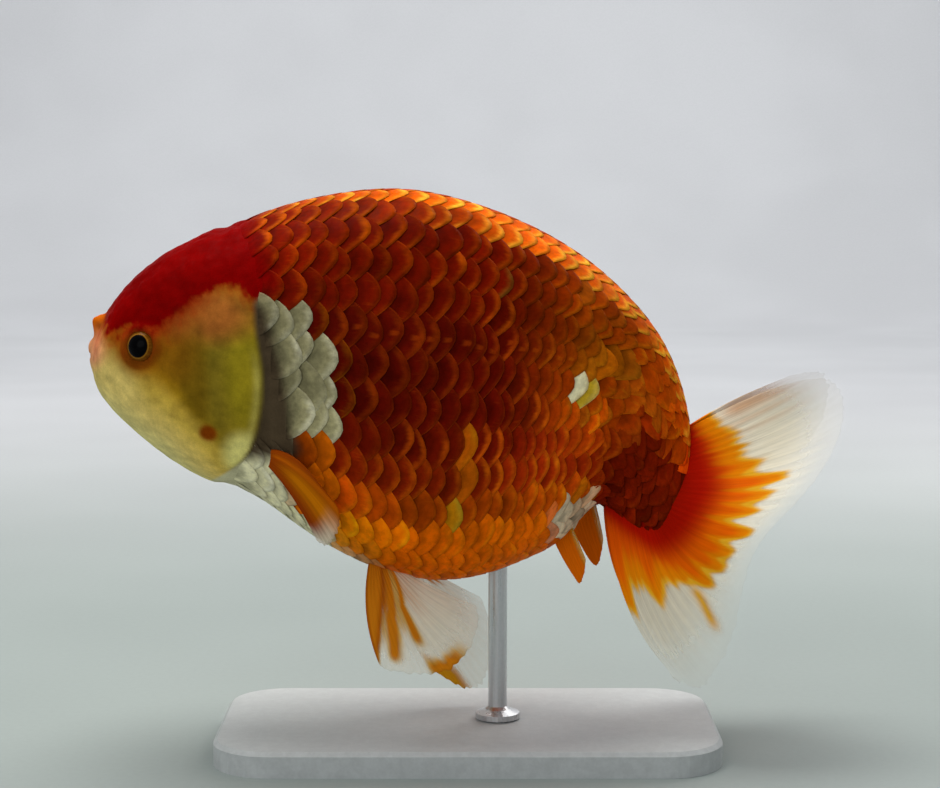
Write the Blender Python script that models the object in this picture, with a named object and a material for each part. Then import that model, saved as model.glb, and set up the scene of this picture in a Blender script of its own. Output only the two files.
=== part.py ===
"""A life-size ranchu goldfish, held up by a plain display stand.

The fish faces -X, its left side faces -Y and Z is up. The origin is the middle of the stand's underside.
The body is a loft of egg-shaped sections between a back line and a belly line. It is parted into head,
gill covers, trunk and tail stem. Each fin is a fan of rays from its root on the body to its outer edge.
"""

import math

import bmesh
import bpy
import numpy as np
from mathutils import Vector

MM = 0.001
GAP = 0.3 * MM
LEFT, RIGHT = -1, 1

# The body's sections in millimetres, from the snout to the end of the tail stem:
# name, back line x and z, belly line x and z, half width, squareness (2 is an ellipse).
SNOUT = (-75.2, 80.8)
SECTIONS = (
    ("lips", -73.7, 83.4, -74.8, 77.6, 5.0, 2.0),
    ("nostrils", -71.6, 86.8, -74.0, 74.4, 9.6, 2.1),
    ("brow", -69.2, 90.6, -72.0, 70.4, 14.0, 2.25),
    ("eyes", -65.2, 95.0, -67.0, 65.2, 17.3, 2.4),
    ("cheeks", -58.4, 100.0, -59.6, 59.2, 20.2, 2.5),
    ("crown", -50.4, 103.8, -50.8, 54.2, 22.2, 2.5),
    ("gill edge", -41.6, 107.2, -42.4, 51.2, 23.2, 2.45),
    ("shoulders", -31.6, 110.2, -32.8, 44.4, 24.6, 2.35),
    ("hump", -18.0, 112.2, -19.2, 36.8, 26.6, 2.25),
    ("belly", -5.6, 111.2, -3.2, 34.0, 27.0, 2.2),
    ("loin", 7.4, 107.2, 10.4, 37.6, 25.0, 2.15),
    ("vent", 20.4, 100.6, 17.6, 41.2, 21.5, 2.1),
    ("croup", 31.4, 91.6, 21.2, 44.8, 17.5, 2.1),
    ("upper stem", 39.2, 81.6, 23.6, 47.4, 14.0, 2.05),
    ("mid stem", 43.2, 71.6, 25.6, 48.8, 11.5, 2.0),
    ("lower stem", 44.8, 63.4, 28.6, 47.0, 10.0, 2.0),
    ("stem end", 45.6, 54.8, 34.8, 40.4, 8.8, 2.0),
)
LAST = len(SECTIONS)
EGG = 0.05  # how much wider a section is below its middle than above
END_BULGE = 2.6 * MM

# Places along the body are section numbers; angles run from the back (0) down the side to the belly (180).
HEAD_END, TRUNK_START = 6.98, 7.02
TRUNK_END, STEM_START = 14.98, 15.02

EYE_PLACE = (4.5, 85.0)
EYE_RADIUS = 4.0 * MM
EYE_SINK = 2.3 * MM

GILL_MIDDLE = (6.64, 98.0)
GILL_REACH = (0.76, 36.0)
GILL_PROUD, GILL_DEPTH = 0.9 * MM, 1.6 * MM
GILL_ROOM_HEIGHT = 4 * MM  # how far the room cut for the cover stands clear of the body
SECTION_STEP = 9 * MM  # about the distance between two sections at the gill

NOSE_FLAP_MIDDLE = (-72.6 * MM, 2.5 * MM, 85.2 * MM)
NOSE_FLAP_RADII = (1.7 * MM, 1.5 * MM, 2.1 * MM)

MOUTH_LEVEL, MOUTH_WIDTH, MOUTH_DEPTH = 79.3 * MM, 8.4 * MM, 2.2 * MM
MOUTH_SLIT = 0.5 * MM
MOUTH_CUT_START = -80 * MM  # ahead of the snout

FIN_ROOT_THICKNESS, FIN_EDGE_THICKNESS = 1.0 * MM, 0.6 * MM
FIN_ROOT_SINK = 1.2 * MM
TAIL_SPLIT, TAIL_SLOT = 0.53, 0.006  # shares of the tail's fan, counted from its upper edge

BASE_LENGTH, BASE_WIDTH, BASE_HEIGHT = 100 * MM, 54 * MM, 5 * MM
BASE_CORNER, BASE_CHAMFER = 12 * MM, 0.8 * MM
ROD_X, ROD_RADIUS = 6.0 * MM, 1.9 * MM
ROD_TOP = 40 * MM  # inside the belly, until the rod is trimmed to it
FOOT_RADIUS, FOOT_HEIGHT = 4.5 * MM, 1.8 * MM
FOOT_SIDE = 0.6  # share of the foot's height that is upright
FOOT_FILLET = 0.6 * MM

# Edges that turn more than this many degrees are drawn sharp.
BODY_SHARP, STAND_SHARP = 40, 20

# finish: colour, roughness, metallic
FINISHES = {
    "red_hood": ((0.22, 0.004, 0.002), 0.45, 0.0),
    "pale_gill": ((0.26, 0.17, 0.03), 0.40, 0.0),
    "orange_scales": ((0.30, 0.03, 0.003), 0.38, 0.1),
    "orange_fin": ((0.48, 0.10, 0.01), 0.40, 0.0),
    "eye": ((0.02, 0.02, 0.02), 0.08, 0.0),
    "stand_paint": ((0.62, 0.62, 0.60), 0.55, 0.0),
    "stand_steel": ((0.55, 0.56, 0.58), 0.28, 1.0),
}


class Curve:
    """A natural cubic spline through evenly spaced points."""

    def __init__(self, points, start=0.0, end=1.0):
        self.points = np.array(points, float)
        self.start, self.step = start, (end - start) / (len(points) - 1)
        count = len(self.points)
        system = np.eye(count)
        bends = np.zeros_like(self.points)
        for i in range(1, count - 1):
            system[i, i - 1 : i + 2] = (1, 4, 1)
            bends[i] = 6 * (self.points[i - 1] - 2 * self.points[i] + self.points[i + 1])
        self.bends = np.linalg.solve(system, bends)

    def __call__(self, t):
        place = (t - self.start) / self.step
        i = int(min(max(math.floor(place), 0), len(self.points) - 2))
        b = place - i
        a = 1 - b
        bend = (a**3 - a) * self.bends[i] + (b**3 - b) * self.bends[i + 1]
        return a * self.points[i] + b * self.points[i + 1] + bend / 6


def body_curves():
    """The side outline, from the belly's end round the snout to the back's end, and the half width."""
    backs = [(s[1], s[2]) for s in SECTIONS]
    bellies = [(s[3], s[4]) for s in SECTIONS]
    widths = [s[5] for s in SECTIONS]
    outline = Curve([*reversed(bellies), SNOUT, *backs], -LAST, LAST)
    width = Curve([*(-w for w in reversed(widths)), 0.0, *widths], -LAST, LAST)
    squareness = Curve([SECTIONS[0][6], *(s[6] for s in SECTIONS)], 0, LAST)
    return outline, width, squareness


OUTLINE, HALF_WIDTH, SQUARENESS = body_curves()


def skin_point(place, angle):
    """The surface point at a section number and an angle in degrees; past 180 is the right side."""
    back, belly = OUTLINE(place), OUTLINE(-place)
    power = 2 / SQUARENESS(place)
    up, out = math.cos(math.radians(angle)), math.sin(math.radians(angle))
    up = math.copysign(abs(up) ** power, up)
    out = math.copysign(abs(out) ** power, out)
    x, z = (back + belly) / 2 + (back - belly) / 2 * up
    y = -HALF_WIDTH(place) * out * (1 - EGG * up)
    return Vector((x, y, z)) * MM


def skin_normal(place, angle):
    """The outward direction there."""
    step, turn = 0.02, 1.0
    place = min(max(place, 0.05), LAST - step)
    along = skin_point(place + step, angle) - skin_point(place - step, angle)
    round_it = skin_point(place, angle + turn) - skin_point(place, angle - turn)
    return round_it.cross(along).normalized()


def on_body(place, angle, lift=0.0):
    return skin_point(place, angle) + skin_normal(place, angle) * lift


def material_of(name, finish):
    colour, roughness, metallic = FINISHES[finish]
    made = bpy.data.materials.new(name)
    made.use_nodes = True
    shader = made.node_tree.nodes["Principled BSDF"]
    shader.inputs["Base Color"].default_value = (*colour, 1)
    shader.inputs["Roughness"].default_value = roughness
    shader.inputs["Metallic"].default_value = metallic
    return made


def add_object(name, mesh, finish=None, sharp=BODY_SHARP):
    """Links a mesh as an object. With no finish it is a cutter, which the model leaves out."""
    obj = bpy.data.objects.new(name, mesh)
    bpy.context.scene.collection.objects.link(obj)
    if finish:
        mesh.materials.append(material_of(name, finish))
        mesh.shade_smooth()
        mesh.set_sharp_from_angle(angle=math.radians(sharp))
    else:
        obj.hide_render = True
        obj.display_type = "WIRE"
    return obj


def mesh_from(name, bm):
    bmesh.ops.recalc_face_normals(bm, faces=bm.faces)
    mesh = bpy.data.meshes.new(name)
    bm.to_mesh(mesh)
    bm.free()
    return mesh


def cut(obj, *cutters):
    for cutter in cutters:
        modifier = obj.modifiers.new("cut_" + cutter.name, "BOOLEAN")
        modifier.operation = "DIFFERENCE"
        modifier.solver = "EXACT"
        modifier.object = cutter


def body_length(name, start, end, rings, around, lift=0.0, bulge=0.0):
    """A closed length of the body between two section numbers; start 0 closes it at the snout."""
    bm = bmesh.new()
    loops = []
    first = 1 if start == 0 else 0
    for i in range(first, rings + 1):
        place = start + (end - start) * i / rings
        angles = [360 * k / around for k in range(around)]
        loops.append([bm.verts.new(on_body(place, a, lift)) for a in angles])
    for near, far in zip(loops, loops[1:]):
        for k in range(around):
            m = (k + 1) % around
            bm.faces.new((near[k], near[m], far[m], far[k]))
    if start == 0:
        ahead = Vector((-lift, 0, 0))
        tip = bm.verts.new(Vector((SNOUT[0], 0, SNOUT[1])) * MM + ahead)
        for k in range(around):
            bm.faces.new((tip, loops[0][(k + 1) % around], loops[0][k]))
    else:
        bm.faces.new(loops[0])
    if bulge:
        close_with_dome(bm, loops[-1], bulge + lift)
    else:
        bm.faces.new(loops[-1])
    return mesh_from(name, bm)


def close_with_dome(bm, ring, height, steps=3):
    """Closes a ring with a shallow dome that stands height above it."""
    middle = sum((v.co for v in ring), Vector()) / len(ring)
    across = ring[0].co - ring[len(ring) // 2].co
    ahead = Vector((-across.z, 0, across.x)).normalized()
    if ahead.x < 0:
        ahead.negate()
    edge = ring
    for step in range(1, steps):
        turn = math.pi / 2 * step / steps
        shrink, rise = math.cos(turn), math.sin(turn)
        inner = [bm.verts.new(middle + (v.co - middle) * shrink + ahead * height * rise) for v in ring]
        for k in range(len(ring)):
            m = (k + 1) % len(ring)
            bm.faces.new((edge[k], edge[m], inner[m], inner[k]))
        edge = inner
    tip = bm.verts.new(middle + ahead * height)
    for k in range(len(ring)):
        bm.faces.new((edge[k], edge[(k + 1) % len(ring)], tip))


def plate_on_body(name, side, outer, inner, grow=1.0, wedge=False, rings=4, around=24):
    """A rounded plate at the gill, from inner below the body's surface to outer above it.

    A wedge's outer face rises from the surface at its front edge to its full height at the rear.
    """
    bm = bmesh.new()
    turn = 1 if side == LEFT else -1

    def vert_at(ahead, down, lift):
        place = GILL_MIDDLE[0] + GILL_REACH[0] * ahead
        angle = turn * (GILL_MIDDLE[1] + GILL_REACH[1] * down)
        return bm.verts.new(on_body(place, angle, lift))

    def top_lift(ahead):
        return outer * ((ahead + 1) / 2) ** 2 if wedge else outer

    def bottom_lift(ahead):
        return -inner

    def ring_of(share, lift_of):
        made = []
        for k in range(around):
            bearing = 2 * math.pi * k / around
            ahead, down = math.cos(bearing) * share, math.sin(bearing) * share
            made.append(vert_at(ahead, down, lift_of(ahead)))
        return made

    shares = [grow * (i + 1) / rings for i in range(rings)]
    tops = [ring_of(share, top_lift) for share in shares]
    bottoms = [ring_of(share, bottom_lift) for share in shares]
    for loops, lift_of in ((tops, top_lift), (bottoms, bottom_lift)):
        centre = vert_at(0, 0, lift_of(0))
        for k in range(around):
            bm.faces.new((centre, loops[0][k], loops[0][(k + 1) % around]))
        for near, far in zip(loops, loops[1:]):
            for k in range(around):
                m = (k + 1) % around
                bm.faces.new((near[k], near[m], far[m], far[k]))
    for k in range(around):
        m = (k + 1) % around
        bm.faces.new((tops[-1][k], tops[-1][m], bottoms[-1][m], bottoms[-1][k]))
    return mesh_from(name, bm)


def ball(name, middle, radii, segments=16, rings=10):
    bm = bmesh.new()
    bmesh.ops.create_uvsphere(bm, u_segments=segments, v_segments=rings, radius=1.0)
    bmesh.ops.scale(bm, vec=Vector(radii), verts=bm.verts)
    bmesh.ops.translate(bm, vec=Vector(middle), verts=bm.verts)
    return mesh_from(name, bm)


def block(name, low, high):
    bm = bmesh.new()
    bmesh.ops.create_cube(bm, size=1.0)
    bmesh.ops.scale(bm, vec=Vector(high) - Vector(low), verts=bm.verts)
    bmesh.ops.translate(bm, vec=(Vector(high) + Vector(low)) / 2, verts=bm.verts)
    return mesh_from(name, bm)


class Fan:
    """A fin's middle sheet: rays that leave a root curve, lean on a bend curve and end on an edge curve."""

    def __init__(self, root, bend, edge, ripple=0.0, waves=3):
        self.root, self.bend, self.edge = Curve(root), Curve(bend), Curve(edge)
        self.ripple, self.waves = ripple, waves

    def plain(self, across, along):
        near, middle, far = self.root(across), self.bend(across), self.edge(across)
        keep = 1 - along
        return Vector(near * keep**2 + middle * 2 * keep * along + far * along**2)

    def normal(self, across, along):
        step = 0.02
        wide = self.plain(min(across + step, 1), along) - self.plain(max(across - step, 0), along)
        deep = self.plain(across, min(along + step, 1)) - self.plain(across, max(along - step, 0))
        return wide.cross(deep).normalized()

    def point(self, across, along):
        wave = math.sin(2 * math.pi * self.waves * across + 2.2 * along)
        return self.plain(across, along) + self.normal(across, along) * (self.ripple * wave * along**2)


def fin(name, fan, start=0.0, end=1.0, rays=9, steps=6):
    """A closed fin between two shares of its fan, thinner towards the edge."""
    bm = bmesh.new()
    faces = []
    for side in (1, -1):
        rows = []
        for i in range(rays + 1):
            across = start + (end - start) * i / rays
            row = []
            for j in range(steps + 1):
                along = j / steps
                thick = FIN_ROOT_THICKNESS + (FIN_EDGE_THICKNESS - FIN_ROOT_THICKNESS) * along
                shift = fan.normal(across, along) * (side * thick / 2)
                row.append(bm.verts.new(fan.point(across, along) + shift))
            rows.append(row)
        for i in range(rays):
            for j in range(steps):
                bm.faces.new((rows[i][j], rows[i + 1][j], rows[i + 1][j + 1], rows[i][j + 1]))
        faces.append(rows)
    front, back = faces
    rim = [(i, 0) for i in range(rays)] + [(rays, j) for j in range(steps)]
    rim += [(i, steps) for i in range(rays, 0, -1)] + [(0, j) for j in range(steps, 0, -1)]
    for (i, j), (m, n) in zip(rim, rim[1:] + rim[:1]):
        bm.faces.new((front[i][j], front[m][n], back[m][n], back[i][j]))
    return add_object(name, mesh_from(name, bm), "orange_fin")


def mm_points(rows, side=LEFT):
    """Points given in millimetres as x, distance out from the middle, z."""
    return [(x * MM, side * out * MM, z * MM) for x, out, z in rows]


def rooted(side, places):
    """Root points under the skin, from section numbers and angles."""
    turn = 1 if side == LEFT else -1
    return [tuple(on_body(place, turn * angle, -FIN_ROOT_SINK)) for place, angle in places]


def tail_fan(side):
    """One half of the double tail, from its upper edge by the midline round to its lower edge."""
    root = rooted(side, [(15.9, 8), (16.6, 42), (16.8, 85), (16.8, 128), (15.4, 164)])
    bend = [(54.2, 4.2, 70.8), (57.6, 11.8, 58.4), (51.6, 18.0, 45.4), (39.0, 16.0, 33.0), (28.4, 13.8, 27.9)]
    edge = [
        (64.9, 5.8, 74.4),
        (69.9, 6.6, 75.0),
        (72.8, 7.6, 73.4),
        (73.6, 9.8, 69.0),
        (71.6, 14.0, 62.4),
        (67.4, 19.0, 56.6),
        (61.8, 22.4, 51.8),
        (56.2, 24.2, 47.2),
        (53.0, 24.6, 40.4),
        (52.0, 23.8, 32.6),
        (50.2, 21.4, 24.2),
        (47.0, 18.8, 17.8),
        (44.0, 17.2, 15.2),
        (40.8, 16.4, 17.4),
    ]
    return Fan(root, mm_points(bend, side), mm_points(edge, side), ripple=0.8 * MM, waves=2.5)


def pectoral_fan(side):
    """The fin behind the gill cover, swung down and half folded."""
    root = rooted(side, [(7.40, 119), (7.38, 123), (7.36, 127)])
    bend = mm_points([(-32.0, 27.4, 63.6), (-32.2, 25.8, 58.8), (-33.4, 24.6, 55.4)], side)
    edge = [
        (-27.1, 28.4, 56.5),
        (-24.8, 28.2, 52.5),
        (-24.4, 27.8, 49.4),
        (-25.2, 27.0, 46.8),
        (-26.8, 26.0, 45.0),
        (-28.8, 25.2, 45.6),
    ]
    return Fan(root, bend, mm_points(edge, side), ripple=0.5 * MM, waves=1.5)


def pelvic_fan(side):
    """The left fin is held out to the side, and the right one is swept back and down."""
    root = rooted(side, [(8.96, 163), (9.1, 164), (9.28, 164)])
    if side == LEFT:
        bend = [(-21.4, 16.6, 30.9), (-12.0, 17.0, 29.0), (-7.0, 11.6, 34.0)]
        edge = [
            (-17.4, 20.6, 20.8),
            (-14.6, 22.4, 19.9),
            (-9.6, 23.6, 19.8),
            (-4.4, 23.0, 20.4),
            (-0.4, 21.4, 23.0),
            (1.9, 18.0, 27.6),
            (1.6, 14.4, 31.4),
        ]
    else:
        bend = [(-15.4, 12.0, 24.0), (-8.4, 12.6, 25.0), (-4.4, 11.6, 31.0)]
        edge = [
            (-8.6, 12.2, 12.8),
            (-4.2, 11.8, 10.4),
            (0.2, 11.4, 8.6),
            (3.2, 11.8, 10.2),
            (4.6, 12.8, 15.4),
            (4.4, 13.2, 22.4),
            (2.6, 12.8, 27.4),
        ]
    return Fan(root, mm_points(bend, side), mm_points(edge, side), ripple=0.5 * MM, waves=2)


def anal_fan(side):
    """A pair of small pointed fins behind the vent, the right one set a little further back."""
    if side == LEFT:
        root = rooted(side, [(12.0, 168), (12.5, 167), (12.95, 166)])
        bend = [(19.4, 5.6, 37.4), (20.8, 5.8, 38.4), (22.6, 5.6, 41.0)]
        edge = [(21.5, 5.8, 34.8), (22.3, 6.0, 34.0), (23.1, 6.0, 36.0), (23.4, 6.0, 38.8)]
    else:
        root = rooted(side, [(12.9, 167), (13.9, 165), (14.8, 160)])
        bend = [(22.6, 5.2, 39.8), (24.6, 5.8, 40.8), (27.2, 5.8, 43.6)]
        edge = [(24.8, 5.6, 36.6), (26.2, 6.0, 35.4), (27.1, 6.0, 37.4), (27.6, 5.8, 40.8)]
    return Fan(root, mm_points(bend, side), mm_points(edge, side))


def make_head(side_parts):
    head = add_object("head", body_length("head", 0, HEAD_END, 13, 32), "red_hood")
    slit_low = Vector((MOUTH_CUT_START, -MOUTH_WIDTH / 2, MOUTH_LEVEL - MOUTH_SLIT / 2))
    slit_high = Vector((SNOUT[0] * MM + MOUTH_DEPTH, MOUTH_WIDTH / 2, MOUTH_LEVEL + MOUTH_SLIT / 2))
    cut(head, add_object("mouth_slit", block("mouth_slit", slit_low, slit_high)), *side_parts)


def make_eye(side, word):
    turn = 1 if side == LEFT else -1
    place, angle = EYE_PLACE
    middle = on_body(place, turn * angle, -EYE_SINK)
    add_object("eye_" + word, ball("eye_" + word, middle, [EYE_RADIUS] * 3), "eye")
    socket = ball("socket_" + word, middle, [EYE_RADIUS + GAP] * 3)
    return add_object("socket_" + word, socket)


def make_nose_flap(side, word):
    x, out, z = NOSE_FLAP_MIDDLE
    middle = (x, side * out, z)
    name = "nose_flap_" + word
    add_object(name, ball(name, middle, NOSE_FLAP_RADII, 12, 7), "red_hood")
    hollow = ball("nose_hollow_" + word, middle, [r + GAP for r in NOSE_FLAP_RADII], 12, 7)
    return add_object("nose_hollow_" + word, hollow)


def make_gill_cover(side, word):
    """The cover, and the cutter that makes room for it in head and trunk."""
    name = "gill_cover_" + word
    add_object(name, plate_on_body(name, side, GILL_PROUD, GILL_DEPTH, wedge=True), "pale_gill")
    grow = 1 + GAP / (GILL_REACH[0] * SECTION_STEP)
    room = plate_on_body("gill_room_" + word, side, GILL_ROOM_HEIGHT, GILL_DEPTH + GAP, grow)
    return add_object("gill_room_" + word, room)


def make_trunk(gill_rooms):
    trunk = add_object("trunk", body_length("trunk", TRUNK_START, TRUNK_END, 18, 36), "orange_scales")
    cut(trunk, *gill_rooms)
    mesh = body_length("tail_stem", STEM_START, LAST, 6, 28, bulge=END_BULGE)
    add_object("tail_stem", mesh, "orange_scales")


def make_fins(side, word, clearance):
    """The fins of one side, trimmed where they would enter the body."""
    tail = tail_fan(side)
    pieces = [
        fin(f"tail_fin_upper_{word}", tail, 0.0, TAIL_SPLIT - TAIL_SLOT / 2),
        fin(f"tail_fin_lower_{word}", tail, TAIL_SPLIT + TAIL_SLOT / 2, 1.0),
        fin(f"pectoral_fin_{word}", pectoral_fan(side), rays=8),
        fin(f"pelvic_fin_{word}", pelvic_fan(side)),
        fin(f"anal_fin_{word}", anal_fan(side), rays=5, steps=4),
    ]
    for piece in pieces:
        cut(piece, clearance)


def rounded_plate(name, length, width, height, corner, chamfer, steps=8):
    """A flat plate with round corners and a small chamfer round its top."""
    bm = bmesh.new()

    def ring(inset, level):
        made = []
        for quarter, (sx, sy) in enumerate(((1, 1), (-1, 1), (-1, -1), (1, -1))):
            for step in range(steps + 1):
                turn = math.radians(90 * quarter + 90 * step / steps)
                x = sx * (length / 2 - corner) + (corner - inset) * math.cos(turn)
                y = sy * (width / 2 - corner) + (corner - inset) * math.sin(turn)
                made.append(bm.verts.new((x, y, level)))
        return made

    rings = [ring(0, 0), ring(0, height - chamfer), ring(chamfer, height)]
    bm.faces.new(rings[0])
    bm.faces.new(rings[-1])
    for near, far in zip(rings, rings[1:]):
        for k in range(len(near)):
            m = (k + 1) % len(near)
            bm.faces.new((near[k], near[m], far[m], far[k]))
    return mesh_from(name, bm)


def turned_rod(name, x, profile, around=24):
    """A round post about a vertical line, from (radius, height) pairs, bottom to top."""
    bm = bmesh.new()
    rings = []
    for radius, level in profile:
        turns = [2 * math.pi * k / around for k in range(around)]
        rings.append([bm.verts.new((x + radius * math.cos(t), radius * math.sin(t), level)) for t in turns])
    bm.faces.new(rings[0])
    bm.faces.new(rings[-1])
    for near, far in zip(rings, rings[1:]):
        for k in range(around):
            m = (k + 1) % around
            bm.faces.new((near[k], near[m], far[m], far[k]))
    return mesh_from(name, bm)


def make_stand(clearance):
    plate = rounded_plate("stand_base", BASE_LENGTH, BASE_WIDTH, BASE_HEIGHT, BASE_CORNER, BASE_CHAMFER)
    add_object("stand_base", plate, "stand_paint", STAND_SHARP)
    bottom = BASE_HEIGHT + GAP
    profile = [
        (FOOT_RADIUS, bottom),
        (FOOT_RADIUS, bottom + FOOT_HEIGHT * FOOT_SIDE),
        (ROD_RADIUS + FOOT_FILLET, bottom + FOOT_HEIGHT),
        (ROD_RADIUS, bottom + FOOT_HEIGHT + FOOT_FILLET),
        (ROD_RADIUS, ROD_TOP),
    ]
    rod = add_object("stand_rod", turned_rod("stand_rod", ROD_X, profile), "stand_steel", STAND_SHARP)
    cut(rod, clearance)


def main():
    for obj in list(bpy.data.objects):
        bpy.data.objects.remove(obj)
    clearance = add_object("body_clearance", body_length("body_clearance", 0, LAST, 44, 48, GAP, END_BULGE))
    head_cutters, gill_rooms = [], []
    for side, word in ((LEFT, "left"), (RIGHT, "right")):
        gill_rooms.append(make_gill_cover(side, word))
        head_cutters += [make_eye(side, word), make_nose_flap(side, word), gill_rooms[-1]]
        make_fins(side, word, clearance)
    make_head(head_cutters)
    make_trunk(gill_rooms)
    make_stand(clearance)


main()
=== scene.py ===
"""The looks of a ranchu goldfish on its display stand.

One skin runs from the lips to the tail stem, near the solids' surface on the head and just inside it under
the scales. These lie over it in rows, each one a curved plate. The fins are thin ribbed sheets, and the eyes
are separate globes. Sizes are in millimetres until a mesh is made, unless a comment says otherwise. The fish
faces -X, its left side faces -Y and Z is up.
"""

import math

import bpy
import numpy as np
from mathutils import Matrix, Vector


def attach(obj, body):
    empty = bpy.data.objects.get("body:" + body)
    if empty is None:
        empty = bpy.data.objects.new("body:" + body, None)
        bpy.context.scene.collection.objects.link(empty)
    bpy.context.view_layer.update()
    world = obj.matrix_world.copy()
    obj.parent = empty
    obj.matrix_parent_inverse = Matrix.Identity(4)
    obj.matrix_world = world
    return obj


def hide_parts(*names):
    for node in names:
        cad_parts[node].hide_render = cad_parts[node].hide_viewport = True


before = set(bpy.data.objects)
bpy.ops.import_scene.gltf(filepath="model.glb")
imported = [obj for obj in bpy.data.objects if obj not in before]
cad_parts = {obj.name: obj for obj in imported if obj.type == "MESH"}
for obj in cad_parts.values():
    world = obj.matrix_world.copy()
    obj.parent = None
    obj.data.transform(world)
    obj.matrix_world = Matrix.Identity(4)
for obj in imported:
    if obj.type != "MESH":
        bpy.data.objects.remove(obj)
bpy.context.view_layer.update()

MM = 0.001
LEFT, RIGHT = -1, 1
SIDES = ((LEFT, "left"), (RIGHT, "right"))

# The body's sections, from the snout to the end of the tail stem: back line x and z, belly line x and z,
# half width, squareness (2 is an ellipse).
SNOUT = (-75.2, 80.8)
SECTIONS = (
    (-73.7, 83.4, -74.8, 77.6, 5.0, 2.0),
    (-71.6, 86.8, -74.0, 74.4, 9.6, 2.1),
    (-69.2, 90.6, -72.0, 70.4, 14.0, 2.25),
    (-65.2, 95.0, -67.0, 65.2, 17.3, 2.4),
    (-58.4, 100.0, -59.6, 59.2, 20.2, 2.5),
    (-50.4, 103.8, -50.8, 54.2, 22.2, 2.5),
    (-41.6, 107.2, -42.4, 51.2, 23.2, 2.45),
    (-31.6, 110.2, -32.8, 44.4, 24.6, 2.35),
    (-18.0, 112.2, -19.2, 36.8, 26.6, 2.25),
    (-5.6, 111.2, -3.2, 34.0, 27.0, 2.2),
    (7.4, 107.2, 10.4, 37.6, 25.0, 2.15),
    (20.4, 100.6, 17.6, 41.2, 21.5, 2.1),
    (31.4, 91.6, 21.2, 44.8, 17.5, 2.1),
    (39.2, 81.6, 23.6, 47.4, 14.0, 2.05),
    (43.2, 71.6, 25.6, 48.8, 11.5, 2.0),
    (44.8, 63.4, 28.6, 47.0, 10.0, 2.0),
    (45.6, 54.8, 34.8, 40.4, 8.8, 2.0),
)
LAST = len(SECTIONS)
EGG = 0.05  # how much wider a section is below its middle than above
END_BULGE = 2.2  # how far the end of the tail stem stands out

EYE_PLACE = (4.5, 85.0)  # section number and angle from the back
EYE_RADIUS, EYE_SINK = 3.7, 2.35
PUPIL_RADIUS = 2.05

COAT_DEPTH = 0.55  # how far the skin lies under the scales' outer face
SCALE_ROWS = 31  # right round the body
SCALE_COLUMNS = 37
SCALE_GRID = (13, 9)  # points across and along one scale

# Screen colours, 0 to 255
COLOURS = {
    "hood": (120, 1, 1),
    "hood_dark": (100, 1, 1),
    "hood_edge": (150, 44, 8),
    "nose": (214, 104, 8),
    "lip": (212, 146, 100),
    "face_cream": (220, 194, 110),
    "chin": (216, 204, 134),
    "cheek": (158, 118, 20),
    "cheek_dark": (112, 84, 14),
    "gill": (128, 108, 28),
    "gill_green": (148, 130, 26),
    "gill_blush": (168, 92, 38),
    "gill_cream": (228, 218, 128),
    "eye_fold": (120, 58, 8),
    "eye_orange": (160, 92, 12),
    # band: the gap behind the gill cover, its dark membrane with painted shadow under the cover's edge
    "spot": (130, 58, 5),
    "band": (76, 63, 46),
    "silver": (145, 138, 100),
    "silver_rim": (198, 192, 160),
    "breast": (216, 210, 168),
    "breast_rim": (224, 220, 190),
    # flank: partly the fish's deep red and partly painted shade on the mid flank, away from the light above
    "flank": (86, 10, 2),
    "flank_rim": (162, 60, 5),
    "upper": (114, 17, 1),
    "upper_rim": (190, 78, 4),
    # ridge: partly the back's own orange and partly a painted highlight from light above
    "ridge": (222, 88, 2),
    "ridge_rim": (255, 184, 48),
    "low": (108, 25, 2),
    "low_rim": (190, 88, 6),
    "belly": (236, 104, 2),
    "belly_rim": (240, 128, 6),
    "rear": (196, 74, 2),
    "rear_rim": (222, 120, 10),
    # stem: the tail stem's dark colours are painted shade on its side
    "stem": (116, 23, 2),
    "stem_rim": (128, 38, 4),
    # a painted highlight where the tail stem meets the tail
    "joint_highlight": (255, 92, 6),
    "yellow": (206, 168, 40),
    "vent": (228, 212, 178),
    "root": (168, 18, 2),
    "orange": (218, 92, 2),
    "finger": (216, 132, 4),
    "streak_rim": (216, 164, 36),
    "cream": (236, 228, 204),
    "pink": (206, 154, 108),
    "crest": (150, 30, 4),
    "nape_rim": (146, 14, 2),
    "patch": (228, 114, 5),
    "flame": (204, 130, 12),
    "bright_scale": (236, 226, 180),
    "olive": (136, 98, 28),
    "orange_red": (196, 58, 2),
    "pectoral": (150, 62, 4),
    "pelvic": (204, 118, 8),
    "anal": (222, 104, 4),
    "pupil": (3, 3, 4),
    "gold": (150, 104, 26),
    "iris": (104, 56, 6),
    "iris_rim": (96, 48, 6),
}


def linear(name):
    values = np.array(COLOURS[name]) / 255
    return np.where(values <= 0.04045, values / 12.92, ((values + 0.055) / 1.055) ** 2.4)


PALETTE = {name: linear(name) for name in COLOURS}


def smooth(value, low=0.0, high=1.0):
    """A soft step from 0 at low to 1 at high."""
    t = np.clip((value - low) / (high - low), 0, 1)
    return t * t * (3 - 2 * t)


def window(value, start, full, fade, end):
    """1 from full to fade, 0 before start and after end, with soft edges."""
    return smooth(value, start, full) * smooth(value, end, fade)


def bump(value, width):
    return np.exp(-((value / width) ** 2))


def unit(vectors):
    return vectors / np.maximum(np.linalg.norm(vectors, axis=-1, keepdims=True), 1e-12)


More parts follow.
